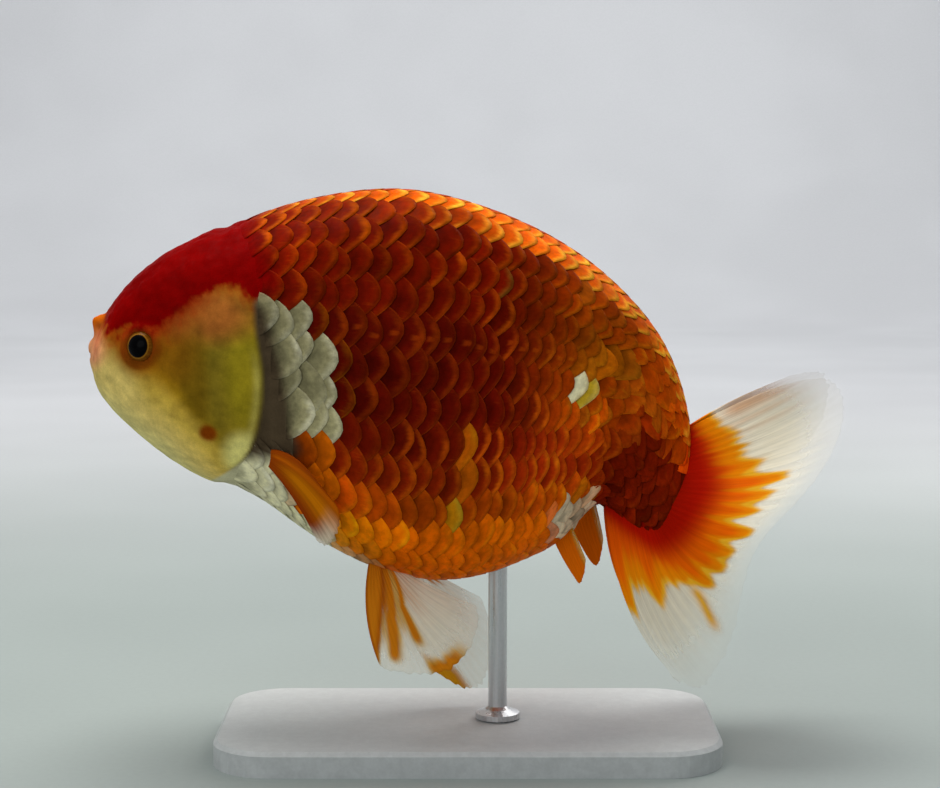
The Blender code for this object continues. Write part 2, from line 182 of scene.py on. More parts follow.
class Curve:
    """A natural cubic spline through evenly spaced points."""

    def __init__(self, points, start=0.0, end=1.0):
        points = np.array(points, float)
        self.points = points.reshape(len(points), -1)
        count = len(points)
        self.start, self.step = start, (end - start) / (count - 1)
        system = np.eye(count)
        bends = np.zeros_like(self.points)
        for i in range(1, count - 1):
            system[i, i - 1 : i + 2] = (1, 4, 1)
            bends[i] = 6 * (self.points[i - 1] - 2 * self.points[i] + self.points[i + 1])
        self.bends = np.linalg.solve(system, bends)

    def __call__(self, t):
        place = (np.asarray(t, float) - self.start) / self.step
        i = np.clip(np.floor(place).astype(int), 0, len(self.points) - 2)
        b = (place - i)[..., None]
        a = 1 - b
        bend = (a**3 - a) * self.bends[i] + (b**3 - b) * self.bends[i + 1]
        return a * self.points[i] + b * self.points[i + 1] + bend / 6


BACKS = [s[0:2] for s in SECTIONS]
BELLIES = [s[2:4] for s in SECTIONS]
WIDTHS = [s[4] for s in SECTIONS]
OUTLINE = Curve([*reversed(BELLIES), SNOUT, *BACKS], -LAST, LAST)
HALF_WIDTH = Curve([*(-w for w in reversed(WIDTHS)), 0.0, *WIDTHS], -LAST, LAST)
SQUARENESS = Curve([SECTIONS[0][5], *(s[5] for s in SECTIONS)], 0, LAST)


def body_point(place, angle):
    """Points of the solids' surface, at section numbers and at angles from the back down the left side."""
    back, belly = OUTLINE(place), OUTLINE(-place)
    power = 2 / SQUARENESS(place)[..., 0]
    up, out = np.cos(np.radians(angle)), np.sin(np.radians(angle))
    up = np.sign(up) * np.abs(up) ** power
    out = np.sign(out) * np.abs(out) ** power
    line = (back + belly) / 2 + (back - belly) / 2 * up[..., None]
    y = -HALF_WIDTH(place)[..., 0] * out * (1 - EGG * up)
    return np.stack([line[..., 0], y, line[..., 1]], -1)


def body_normal(place, angle):
    step, turn = 0.02, 1.0
    place = np.clip(place, 0.05, LAST - step)
    along = body_point(place + step, angle) - body_point(place - step, angle)
    round_it = body_point(place, angle + turn) - body_point(place, angle - turn)
    return unit(np.cross(round_it, along))


def on_body(place, angle, lift=0.0):
    place, angle = np.broadcast_arrays(np.asarray(place, float), np.asarray(angle, float))
    return body_point(place, angle) + body_normal(place, angle) * np.asarray(lift)[..., None]


class GirthTable:
    """Angles that share each section's girth out evenly, from 0 at the back to 1 at the belly."""

    def __init__(self, places=341, shares=201, steps=361):
        self.places = np.linspace(0.3, LAST, places)
        self.shares = np.linspace(0, 1, shares)
        angles = np.linspace(0, 180, steps)
        grid = body_point(self.places[:, None], angles[None, :])
        lengths = np.linalg.norm(np.diff(grid, axis=1), axis=2)
        girth = np.concatenate([np.zeros((places, 1)), np.cumsum(lengths, 1)], 1)
        girth /= girth[:, -1:]
        self.table = np.array([np.interp(self.shares, row, angles) for row in girth])

    def angle(self, place, share):
        """The angle at a share, which runs past 1 on to the other side and is negative on the right."""
        side, share = np.sign(share), np.abs(share)
        beyond = share > 1
        share = np.where(beyond, 2 - share, share)
        i = (place - self.places[0]) / (self.places[1] - self.places[0])
        i = np.clip(i, 0, len(self.places) - 1.001)
        j = np.clip(share * (len(self.shares) - 1), 0, len(self.shares) - 1.001)
        m, n = i.astype(int), j.astype(int)
        a, b = i - m, j - n
        near = self.table[m, n] * (1 - b) + self.table[m, n + 1] * b
        far = self.table[m + 1, n] * (1 - b) + self.table[m + 1, n + 1] * b
        angle = near * (1 - a) + far * a
        return side * np.where(beyond, 360 - angle, angle)


GIRTH = GirthTable()


def eased(values, results, reach=4.0):
    """A function through pairs of values and results, its corners rounded over the reach."""
    fine = np.linspace(values[0], values[-1], 400)
    level = np.interp(fine, values, results)
    count = max(1, int(reach / (fine[1] - fine[0])))
    padded = np.pad(level, count, mode="edge")
    weights = np.hanning(2 * count + 1)
    rounded = np.convolve(padded, weights / weights.sum(), "valid")
    return lambda value: np.interp(value, fine, rounded)


# The rear edge of the gill cover, as x at heights z; above it the line where the hood meets the scales.
GILL_EDGE = eased(
    (48.0, 54.0, 58.8, 61.2, 66.5, 72.5, 78.2, 85.8, 92.9, 97.0, 101.0, 105.0, 112.0),
    (-60.0, -52.0, -45.0, -42.2, -40.0, -38.9, -38.8, -40.2, -40.6, -42.0, -44.6, -46.6, -48.0),
)


def behind_gill(x, z):
    """Distance behind the gill cover's edge; negative is on the head."""
    return x - GILL_EDGE(z)


def eye_axis(side):
    """The eye's middle and the direction that it looks in."""
    place, angle = np.array(EYE_PLACE[0]), np.array(-side * EYE_PLACE[1])
    return on_body(place, angle, -EYE_SINK), body_normal(place, angle)


def from_eye(points):
    """Distance of points from the axis of the eye on their side, or a large number far inside the head."""
    found = np.full(len(points), 99.0)
    for side in (LEFT, RIGHT):
        middle, axis = eye_axis(side)
        away = points - middle
        along = away @ axis
        distance = np.linalg.norm(away - along[:, None] * axis, axis=1)
        near = (np.sign(points[:, 1]) == side) & (along > -4)
        found[near] = distance[near]
    return found


NOISE_WAVES = 18


def ripple_noise(points, size, seed):
    """A cheap smooth noise between about -1 and 1, from a few waves that cross."""
    rng = np.random.default_rng(seed)
    total = np.zeros(len(points))
    for _ in range(NOISE_WAVES):
        direction = unit(rng.normal(size=3))
        phase = points @ direction * 2 * math.pi / (size * rng.uniform(0.6, 1.6))
        total += np.sin(phase + rng.uniform(0, 6.28))
    return total / math.sqrt(NOISE_WAVES)


class Paint:
    """Colours of points, laid on one over another."""

    def __init__(self, name, count):
        self.rgb = np.tile(PALETTE[name], (count, 1))

    def lay(self, name, mask):
        self.rgb += (PALETTE[name] - self.rgb) * np.clip(mask, 0, 1)[:, None]

    def dim(self, factor):
        self.rgb *= np.reshape(factor, (-1, 1))


def oval(x, z, middle, radii, soft=0.35):
    """1 inside an oval seen from the side, 0 outside, with a soft edge."""
    distance = np.hypot((x - middle[0]) / radii[0], (z - middle[1]) / radii[1])
    return smooth(distance, 1 + soft, 1 - soft)


# The lower border of the red hood, as z at places x from the snout to the nape
HOOD_BORDER = eased(
    (-76.0, -73.0, -71.4, -70.2, -68.7, -64.9, -60.8, -56.8, -53.9, -51.0, -48.1, -45.6, -43.3, -41.4, -39.0),
    (92.0, 89.6, 86.6, 85.0, 84.2, 85.8, 84.8, 87.2, 89.8, 91.6, 93.4, 93.9, 93.3, 91.4, 90.4),
    1.5,
)
HOOD_SOFT = (-2.6, 2.8)  # how far below and above its border the hood fades in
NOSTRIL = (-73.0, 2.6, 85.4)  # where the nose flap stands
NOSTRIL_PIT = (-71.9, 4.6, 84.4)
VENT = (20.5, 0, 44.0)


def hood_at(x, z):
    return smooth(z - HOOD_BORDER(x), *HOOD_SOFT) * smooth(x, -36.5, -44.5)


def mirrored_distance(points, middle):
    """Distance from a point on the left side or from its mirror image on the right."""
    folded = np.stack([points[:, 0], np.abs(points[:, 1]), points[:, 2]], -1)
    return np.linalg.norm(folded - middle, axis=1)


def relief(points, normals):
    """How far the skin stands off the solids, as vectors."""
    x, y, z = points.T
    behind = behind_gill(x, z)
    # Under the scales the skin drops by the coat's depth. At the nape the line where it does wanders.
    nape = smooth(z, 91, 96)
    wander = nape * ripple_noise(points, 6.0, 12)
    lift = -COAT_DEPTH * smooth(behind + wander, 0.5 - 1.5 * nape, 4.5)
    # The gill cover swells towards its edge. A groove follows behind it, and a fold runs down the cheek.
    cover = window(z, 56, 61, 90, 95)
    lift += (0.65 * window(behind, -10, -1, -0.9, 0.9) - 0.5 * bump(behind - 1.5, 1.3)) * cover
    fold = x - np.interp(z, (62, 66, 84, 88), (-48.5, -50.4, -50.9, -49.5))
    lift += (0.18 * bump(fold - 2.4, 2.0) - 0.22 * bump(fold, 0.9)) * window(z, 62, 66, 84, 88)
    # The hood is warty, the rest of the head a little uneven, and the nape has a dent.
    warts = 0.22 + 0.09 * ripple_noise(points, 7.0, 3) + 0.05 * ripple_noise(points, 2.6, 4)
    lift += hood_at(x, z) * smooth(behind, 1.5, -4.0) * warts
    lift += smooth(behind, 1.0, -1.0) * 0.04 * ripple_noise(points, 3.4, 5)
    lift -= 0.5 * bump(x + 48, 1.5) * smooth(z, 99, 103)
    # The eye's opening, its raised rim and the dip round that
    eye = from_eye(points)
    lift += 0.42 * bump(eye - 3.5, 0.8) - 0.12 * bump(eye - 5.4, 1.0) - 2.6 * smooth(eye, 2.9, 2.3)
    # The vent stands out.
    lift += 1.3 * bump(np.linalg.norm(points - VENT, axis=1), 3.4)
    # Two lips with a slit between them
    front = smooth(x, -70.0, -73.0)
    lift += front * (0.4 * bump(z - 81.0, 1.8) + 0.34 * bump(z - 77.6, 1.6)) * bump(y, 5.0)
    lift -= front * 0.62 * bump(z - 79.2, 0.4) * smooth(np.abs(y), 5.0, 3.4)
    # A pit and a flap at each nostril
    lift -= 0.7 * bump(mirrored_distance(points, NOSTRIL_PIT), 0.75)
    flap = bump(mirrored_distance(points, NOSTRIL), 1.9)
    return normals * lift[:, None] + flap[:, None] * (-2.0, 0, 1.5)


# The silver patch behind the gill cover: its rear limit x at heights z, and its lower limit z at places x.
SILVER_REAR = (
    (60.0, 62.3, 67.1, 72.8, 78.4, 81.0, 84.1, 86.8, 89.2, 92.2),
    (-24.4, -24.4, -23.6, -23.4, -23.4, -25.6, -28.4, -30.2, -31.8, -35.0),
)
SILVER_LOW = ((-40.0, -34.6, -31.8, -28.1, -23.6), (67.0, 66.0, 64.6, 62.8, 61.6))
# The dark gap between the gill cover and the silver, its dark membrane with painted shadow under the cover's
# edge: its width at heights z.
GILL_SHADOW_WIDTH = ((60.0, 63.0, 67.0, 76.0, 86.0, 91.0), (10.4, 9.8, 6.6, 4.4, 3.2, 1.8))


def silver_at(x, z, soft):
    rear = np.interp(z, *SILVER_REAR) - x
    low = z - np.interp(x, *SILVER_LOW)
    return smooth(rear, -soft, soft) * smooth(low, -soft, soft) * smooth(z, 92 + soft, 92 - soft)


def gill_shadow_at(x, z):
    """The dark gap behind the gill cover: its dark membrane, with painted shadow under the cover's edge."""
    behind = behind_gill(x, z)
    width = np.interp(z, *GILL_SHADOW_WIDTH)
    return smooth(behind, width + 1.3, width - 1.7) * window(z, 59.5, 62.5, 89, 93) * (behind > -0.6)


# Painted light and shade on the flank: an oval's middle and radii, and by how much lighter or darker it makes
# the tint.
PAINTED_LIGHT_PATCHES = (
    ((17.2, 59.4), (9.5, 8.2), 1.4),
    ((8.0, 64.0), (16.0, 16.0), 0.5),
    ((-19.5, 55.0), (9.0, 12.0), 0.7),
    ((35.5, 66.0), (5.0, 6.0), 0.6),
    ((-25.0, 52.0), (3.0, 5.0), 0.6),
    ((27.6, 82.6), (8.0, 7.5), -0.45),
    ((-12.5, 100.3), (14.0, 4.5), -0.35),
    ((12.4, 93.6), (9.0, 4.5), -0.3),
)


def body_paint(points, place, share, kind="", soft=0.8):
    """Colours of the scaled body; kind is "" for the middle of a scale and "_rim" for its edge."""
    x, y, z = points.T
    share = np.abs(share)
    paint = Paint("flank" + kind, len(points))
    # Bands from the back down to the belly, then the rear of the body, the ridge and the tail stem. The dark
    # mid flank is partly painted shade.
    paint.lay("upper" + kind, smooth(share, 0.40, 0.26))
    paint.lay("low" + kind, smooth(share, 0.54, 0.68))
    paint.lay("belly" + kind, smooth(share, 0.68, 0.78))
    paint.lay("rear" + kind, smooth(place, 10.8, 13.2) * smooth(share, 0.62, 0.5) * 0.9)
    # The ridge's bright colour is partly its own and partly a painted highlight from light above, fainter
    # towards the head.
    ridge = smooth(share - 0.05 * smooth(place, 9.5, 12.5), 0.14, 0.08)
    paint.lay("ridge" + kind, ridge * (0.35 + 0.65 * smooth(x, -34, -8)))
    paint.lay("crest", smooth(share, 0.05, 0.02) * 0.7)
    # The dark tail stem is painted shade.
    paint.lay("stem" + kind, smooth(place, 13.0, 14.4) * smooth(share, 0.28, 0.4))
    # Painted light and shade from the ovals above
    paint.dim(1 + sum(amount * oval(x, z, middle, radii, 0.6) for middle, radii, amount in PAINTED_LIGHT_PATCHES))
    # A painted highlight at the tail's joint, and spots on the flank and at the vent
    paint.lay("joint_highlight", oval(x, z, (42.4, 57.4), (2.0, 2.9), 0.4) * (y < 0) * 0.35)
    paint.lay("flame", oval(x, z, (26.0, 78.5), (5.0, 3.4), 0.5) * 0.25)
    paint.lay("flame", oval(x, z, (23.0, 52.5), (2.6, 2.4), 0.3) * 0.8)
    paint.lay("vent", oval(x, z, (21.2, 47.2), (4.6, 5.0), 0.2) * smooth(share, 0.70, 0.74))
    # The pale breast, with a yellow border and an orange patch at the pectoral fin
    patch = oval(x, z, (-28.8, 55.8), (4.6, 6.2), 0.25)
    high = 0.69 - 0.09 * smooth(x, -28, -33)
    breast = smooth(share, high - soft * 0.05, high + soft * 0.05)
    breast = breast * smooth(x, -27 + soft * 1.5, -27 - soft * 1.5)
    front = smooth(x, -13, -19)
    paint.lay("yellow", oval(x, z, (-26.4, 46.0), (2.4, 4.4), 0.4) * 0.7)
    paint.lay("flame", smooth(share, 0.78, 0.86) * front * 0.7)
    paint.lay("breast" + kind, smooth(share, 0.89, 0.93) * front)
    paint.lay("breast" + kind, breast * (1 - patch))
    paint.lay("patch", patch)
    if kind:
        paint.lay("flame", silver_at(x - 1.6, z - 1.0, soft) * smooth(z, 66, 70) * 0.5)
    paint.lay("silver" + kind, silver_at(x, z, soft))
    return paint


def nape_at(x, z):
    """Where the hood's red runs out over the first scales."""
    return smooth(behind_gill(x, z), 8.5, 2.0) * smooth(z, 91, 96)


def lay_over(paint, x, z, kind=""):
    """What crosses from the head on to the first scales: the dark gap with its painted shadow, and the red of
    the nape.
    """
    paint.lay("nape_rim" if kind else "hood", nape_at(x, z))
    paint.lay("band", gill_shadow_at(x, z))


def skin_paint(points, place, share):
    """Colours of the skin: the face and hood, and the body's colours where scales lie over it."""
    x, y, z = points.T
    behind = behind_gill(x, z)
    below = np.interp(x, (-76, -68, -58, -48, -42), (84, 79, 72, 61, 55)) - z
    paint = Paint("cheek", len(points))
    # The gill cover, then the lower face and the lips
    paint.lay("gill", oval(x, z, (-45.0, 76.0), (7.0, 16.0), 0.5))
    paint.lay("gill_green", oval(x, z, (-41.6, 76.5), (4.2, 10.0), 0.5))
    paint.lay("gill_blush", oval(x, z, (-50.5, 88.5), (10.0, 5.0), 0.5) * 0.85)
    paint.lay("cheek_dark", oval(x, z, (-52.4, 75.0), (3.0, 11.0), 0.6) * 0.8)
    paint.lay("face_cream", smooth(below, -5, 4))
    paint.lay("chin", smooth(below, 4, 13))
    paint.lay("yellow", bump(below - 0.5, 4.5) * smooth(x, -66, -60) * 0.5)
    paint.lay("lip", oval(x, z, (-74.5, 81.2), (4.2, 4.0), 0.45))
    paint.lay("gill_cream", oval(x, z, (-42.6, 61.5), (4.0, 4.2), 0.5) * smooth(behind, 0.4, -0.4))
    paint.lay("gill_cream", bump(behind + 0.9, 0.8) * 0.25 * window(z, 58, 62, 76, 84))
    paint.dim(1 + 0.07 * ripple_noise(points, 5.0, 8) + 0.06 * ripple_noise(points, 1.8, 9))
    # The folds round the eye are warmer ahead of it and below.
    eye = from_eye(points)
    low_front = smooth(-(x + 62.8) - (z - 82.4), -5, 5)
    paint.lay("eye_fold", oval(x, z, (-57.6, 82.0), (5.2, 6.2), 0.7) * 0.55)
    paint.lay("eye_orange", smooth(eye, 6.9, 3.9) * (0.35 + 0.35 * low_front))
    paint.lay("eye_fold", smooth(eye, 5.2, 4.0) * (0.55 + 0.4 * low_front))
    paint.lay("iris_rim", bump(eye - 3.3, 0.35) * 0.6)
    # The red hood and its wandering border
    above = z - HOOD_BORDER(x) + 0.5 * ripple_noise(points, 2.2, 14) + 0.3 * ripple_noise(points, 0.9, 15)
    red = smooth(above, *HOOD_SOFT)
    paint.lay("hood_edge", smooth(above, -7.0, 0.5) * smooth(x, -46, -54) * 0.55)
    paint.lay("hood_edge", red**0.5 * 0.9)
    paint.lay("hood", smooth(red, 0.25, 0.8))
    paint.lay("hood_dark", oval(x, z, (-58.5, 92.5), (9.5, 4.5), 0.6) * 0.5 * hood_at(x, z))
    # Spots at the nostrils, and a near-black painted shade in each nostril pit: middle, radius and strength
    for name, middle, radius, amount in (
        ("nose", NOSTRIL, 2.6, 1.2),
        ("hood_edge", (-70.8, 6.4, 84.0), 3.2, 0.85),
        ("orange_red", (-70.4, 9.0, 81.6), 2.8, 0.5),
        ("pupil", NOSTRIL_PIT, 0.7, 0.8),
    ):
        paint.lay(name, bump(mirrored_distance(points, middle), radius) * amount)
    paint.lay("spot", oval(x, z, (-49.6, 65.9), (1.8, 1.6), 0.35) * (y < 0))
    # Under the scales the body's own colours, a little darker
    body = body_paint(points, place, share)
    body.lay("root", smooth(place, 15.9, 16.8) * 0.75)
    body.dim(0.85)
    lay_over(body, x, z)
    on_scales = smooth(behind - 2.5 * smooth(z, 90, 94), -0.7, 0.6)
    paint.rgb += (body.rgb - paint.rgb) * on_scales[:, None]
    return paint


def build_mesh(name, points, quads, triangles=()):
    """A smooth mesh from points in millimetres."""
    quads = np.asarray(quads, np.int32).reshape(-1, 4)
    triangles = np.asarray(triangles, np.int32).reshape(-1, 3)
    mesh = bpy.data.meshes.new(name)
    mesh.vertices.add(len(points))
    mesh.vertices.foreach_set("co", (np.asarray(points) * MM).astype(np.float32).ravel())
    corners = np.concatenate([quads.ravel(), triangles.ravel()])
    mesh.loops.add(len(corners))
    mesh.loops.foreach_set("vertex_index", corners)
    mesh.polygons.add(len(quads) + len(triangles))
    starts = np.concatenate([np.arange(len(quads)) * 4, quads.size + np.arange(len(triangles)) * 3])
    mesh.polygons.foreach_set("loop_start", starts.astype(np.int32))
    mesh.update(calc_edges=True)
    mesh.polygons.foreach_set("use_smooth", np.ones(len(mesh.polygons), bool))
    mesh.validate()
    return mesh


def add_attribute(mesh, name, values, kind="FLOAT", field="value"):
    data = mesh.attributes.new(name, kind, "POINT").data
    data.foreach_set(field, np.asarray(values, np.float32).ravel())


def add_colour(mesh, name, rgb):
    rgba = np.hstack([np.clip(rgb, 0, 1), np.ones((len(rgb), 1))])
    add_attribute(mesh, name, rgba, "FLOAT_COLOR", "color")


def add_piece(mesh, material, nodes):
    obj = bpy.data.objects.new(mesh.name, mesh)
    bpy.context.scene.collection.objects.link(obj)
    mesh.materials.append(material)
    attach(obj, "root")
    if nodes:
        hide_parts(*nodes)
    return obj


def grid_quads(rows, columns, wrap=False):
    """Quads of a grid of points, row by row; wrap joins the last column to the first."""
    i, j = np.meshgrid(np.arange(rows - 1), np.arange(columns if wrap else columns - 1), indexing="ij")
    k = (j + 1) % columns
    quads = [i * columns + j, i * columns + k, (i + 1) * columns + k, (i + 1) * columns + j]
    return np.stack(quads, -1).reshape(-1, 4)


def sheet_quads(rows, columns):
    """Quads of a closed sheet: a grid of points, a second grid behind it and the walls between them."""
    count = rows * columns
    front = grid_quads(rows, columns)
    index = np.arange(count).reshape(rows, columns)
    border = np.concatenate([index[0, :-1], index[:-1, -1], index[-1, :0:-1], index[:0:-1, 0]])
    ahead = np.roll(border, -1)
    walls = np.stack([ahead, border, border + count, ahead + count], -1)
    return np.concatenate([front, front[:, ::-1] + count, walls])


def ring_caps(rows, around):
    """Triangles that close both ends of a wrapped grid, with two more points as tips."""
    j = np.arange(around)
    k = (j + 1) % around
    count = rows * around
    first = np.stack([k, j, np.full(around, count)], -1)
    last = np.stack([j, k, np.full(around, around + 1)], -1) + count - around
    return np.concatenate([first, last])


SKIN_AROUND = 400
SKIN_HEAD_ROWS, SKIN_BODY_ROWS, SKIN_DOME_ROWS = 178, 49, 8
FINE_UNTIL = 8.0  # the skin's rows lie close together up to this section


def make_skin(material):
    fine = np.linspace(0.04, FINE_UNTIL, SKIN_HEAD_ROWS)
    places = np.concatenate([fine, np.linspace(FINE_UNTIL, LAST, SKIN_BODY_ROWS + 1)[1:]])
    shares = np.linspace(-1, 1, SKIN_AROUND, endpoint=False)
    # The points crowd a little on the cheeks, where the eye and the gill cover are.
    shares = shares - 0.06 * np.sin(2 * math.pi * shares)
    place, share = (grid.ravel() for grid in np.meshgrid(places, shares, indexing="ij"))
    angle = GIRTH.angle(place, share)
    points, normals = body_point(place, angle), body_normal(place, angle)
    rgb = skin_paint(points, place, share).rgb
    points = points + relief(points, normals)
    # A dome closes the end of the tail stem, and a single point the snout.
    ring = points[-SKIN_AROUND:]
    middle = ring.mean(0)
    across = ring[SKIN_AROUND // 2] - ring[0]
    ahead = unit(np.array((abs(across[2]), 0, -abs(across[0]) * np.sign(across[0] * across[2]))))
    ahead = ahead * END_BULGE
    turns = np.linspace(0, math.pi / 2, SKIN_DOME_ROWS + 1)[1:-1]
    dome = [middle + (ring - middle) * math.cos(t) + ahead * math.sin(t) for t in turns]
    tips = np.array([(SNOUT[0] - 0.3, 0, SNOUT[1] + 0.2), middle + ahead])
    rows = len(places) + len(dome)
    points = np.concatenate([points, *dome, tips])
    mesh = build_mesh("skin", points, grid_quads(rows, SKIN_AROUND, True), ring_caps(rows, SKIN_AROUND))
    dome_rgb = np.tile(rgb[-SKIN_AROUND:], (len(dome), 1))
    add_colour(mesh, "Tone", np.concatenate([rgb, dome_rgb, rgb[:1], rgb[-1:]]))
    nodes = ["head", "trunk", "tail_stem"]
    for _, word in SIDES:
        nodes += [f"nose_flap_{word}", f"gill_cover_{word}"]
    return add_piece(mesh, material, nodes)


# How strongly the columns of scales crowd towards the tail, on the ridge and on the belly.
RIDGE_CROWDING, BELLY_CROWDING = 0.16, 0.34
COLUMNS_START = 6.4
SCALE_REACH = 2.2  # length, in columns
SCALE_SPREAD = 0.86  # half width, in rows
SCALE_MIDDLE = 0.76  # where the middle of the part that shows lies, as a share of the reach
STEM_COLUMN = 31  # from here on every second row is left out, and the others are wider
PORE_ROW, PORE_START = 6, -23  # the row that carries the lateral line, and the x where it begins
COLUMN_LENGTH = 3.5  # of a column on the front of the body; at the rear it is shorter
EDGE_LIMIT = 4.0  # distances from a scale's rear edge count no further than this
NAPE_LESS = 2.4  # how much less that is at the nape
SCALE_TUCK = 4.5  # how far ahead of the gill edge the first roots lie, under the skin
PATCH = 0.003  # size of a scale's patch in the OFBake map
MARK_LEAST = 0.2  # the faintest bright mark on a rear edge, as a share of the strongest
RIDGE_HIGHLIGHT = 0.85  # the same on the ridge, where every scale gets a painted highlight


class Lattice:
    """Section numbers of the columns of scales, along the ridge and along the belly."""

    def __init__(self, columns=SCALE_COLUMNS, steps=800):
        self.columns = columns
        places = np.linspace(COLUMNS_START, LAST, steps)
        self.tables = []
        for sign, crowding in ((1, RIDGE_CROWDING), (-1, BELLY_CROWDING)):
            line = OUTLINE(sign * places)
            lengths = np.concatenate([[0], np.cumsum(np.linalg.norm(np.diff(line, axis=0), axis=1))])
            lengths /= lengths[-1]
            along = np.linspace(0, 1, 301)
            spread = along + crowding * along * (1 - along)
            self.tables.append((along * columns, np.interp(spread, lengths, places)))

    def place(self, column, share):
        column = np.clip(column, 0, self.columns)
        ridge, belly = (np.interp(column, *table) for table in self.tables)
        weight = smooth(np.abs(share), 0.0, 1.0)
        return ridge + (belly - ridge) * weight


LATTICE = Lattice()


# Single scales of another colour on the left side: place x and z, colour of the middle and of the edge.
ODD_SCALES = (
    (21.3, 73.9, "bright_scale", "yellow"),
    (23.6, 72.6, "yellow", "bright_scale"),
    (18.7, 69.2, "rear", "yellow"),
    (8.0, 92.4, "upper", "olive"),
    (-2.8, 49.0, "flame", "yellow"),
    (-1.2, 63.4, "low_rim", "flame"),
    (0.2, 59.6, "low_rim", "flame"),
    # The next two scales carry the painted highlight at the tail's joint.
    (42.5, 58.3, "joint_highlight", "joint_highlight"),
    (43.1, 55.7, "joint_highlight", "joint_highlight"),
)


def scale_list():
    """Row and column of each scale that is kept."""
    found = []
    for row in range(-SCALE_ROWS // 2 + 1, SCALE_ROWS // 2 + 1):
        for column in range(SCALE_COLUMNS - 1):
            if column < STEM_COLUMN:
                found.append((row, column + (row % 2) / 2))
            elif row % 2 == 0:
                found.append((row, column + (row // 2 % 2) / 2))
    found = np.array(found, float)
    share = found[:, 0] * 2 / SCALE_ROWS
    root = LATTICE.place(found[:, 1], share)
    points = body_point(root, GIRTH.angle(root, share))
    behind = behind_gill(points[:, 0], points[:, 2])
    return found[behind > -SCALE_TUCK]


def scale_middles(found):
    """Share, place and point of the middle of each scale's part that shows."""
    share = found[:, 0] * 2 / SCALE_ROWS
    place = LATTICE.place(found[:, 1] + SCALE_REACH * SCALE_MIDDLE, share)
    return share, place, body_point(place, GIRTH.angle(place, share))


def spread(values):
    """One value for each scale, ready to meet the grid of points on it."""
    return values[:, None, None]


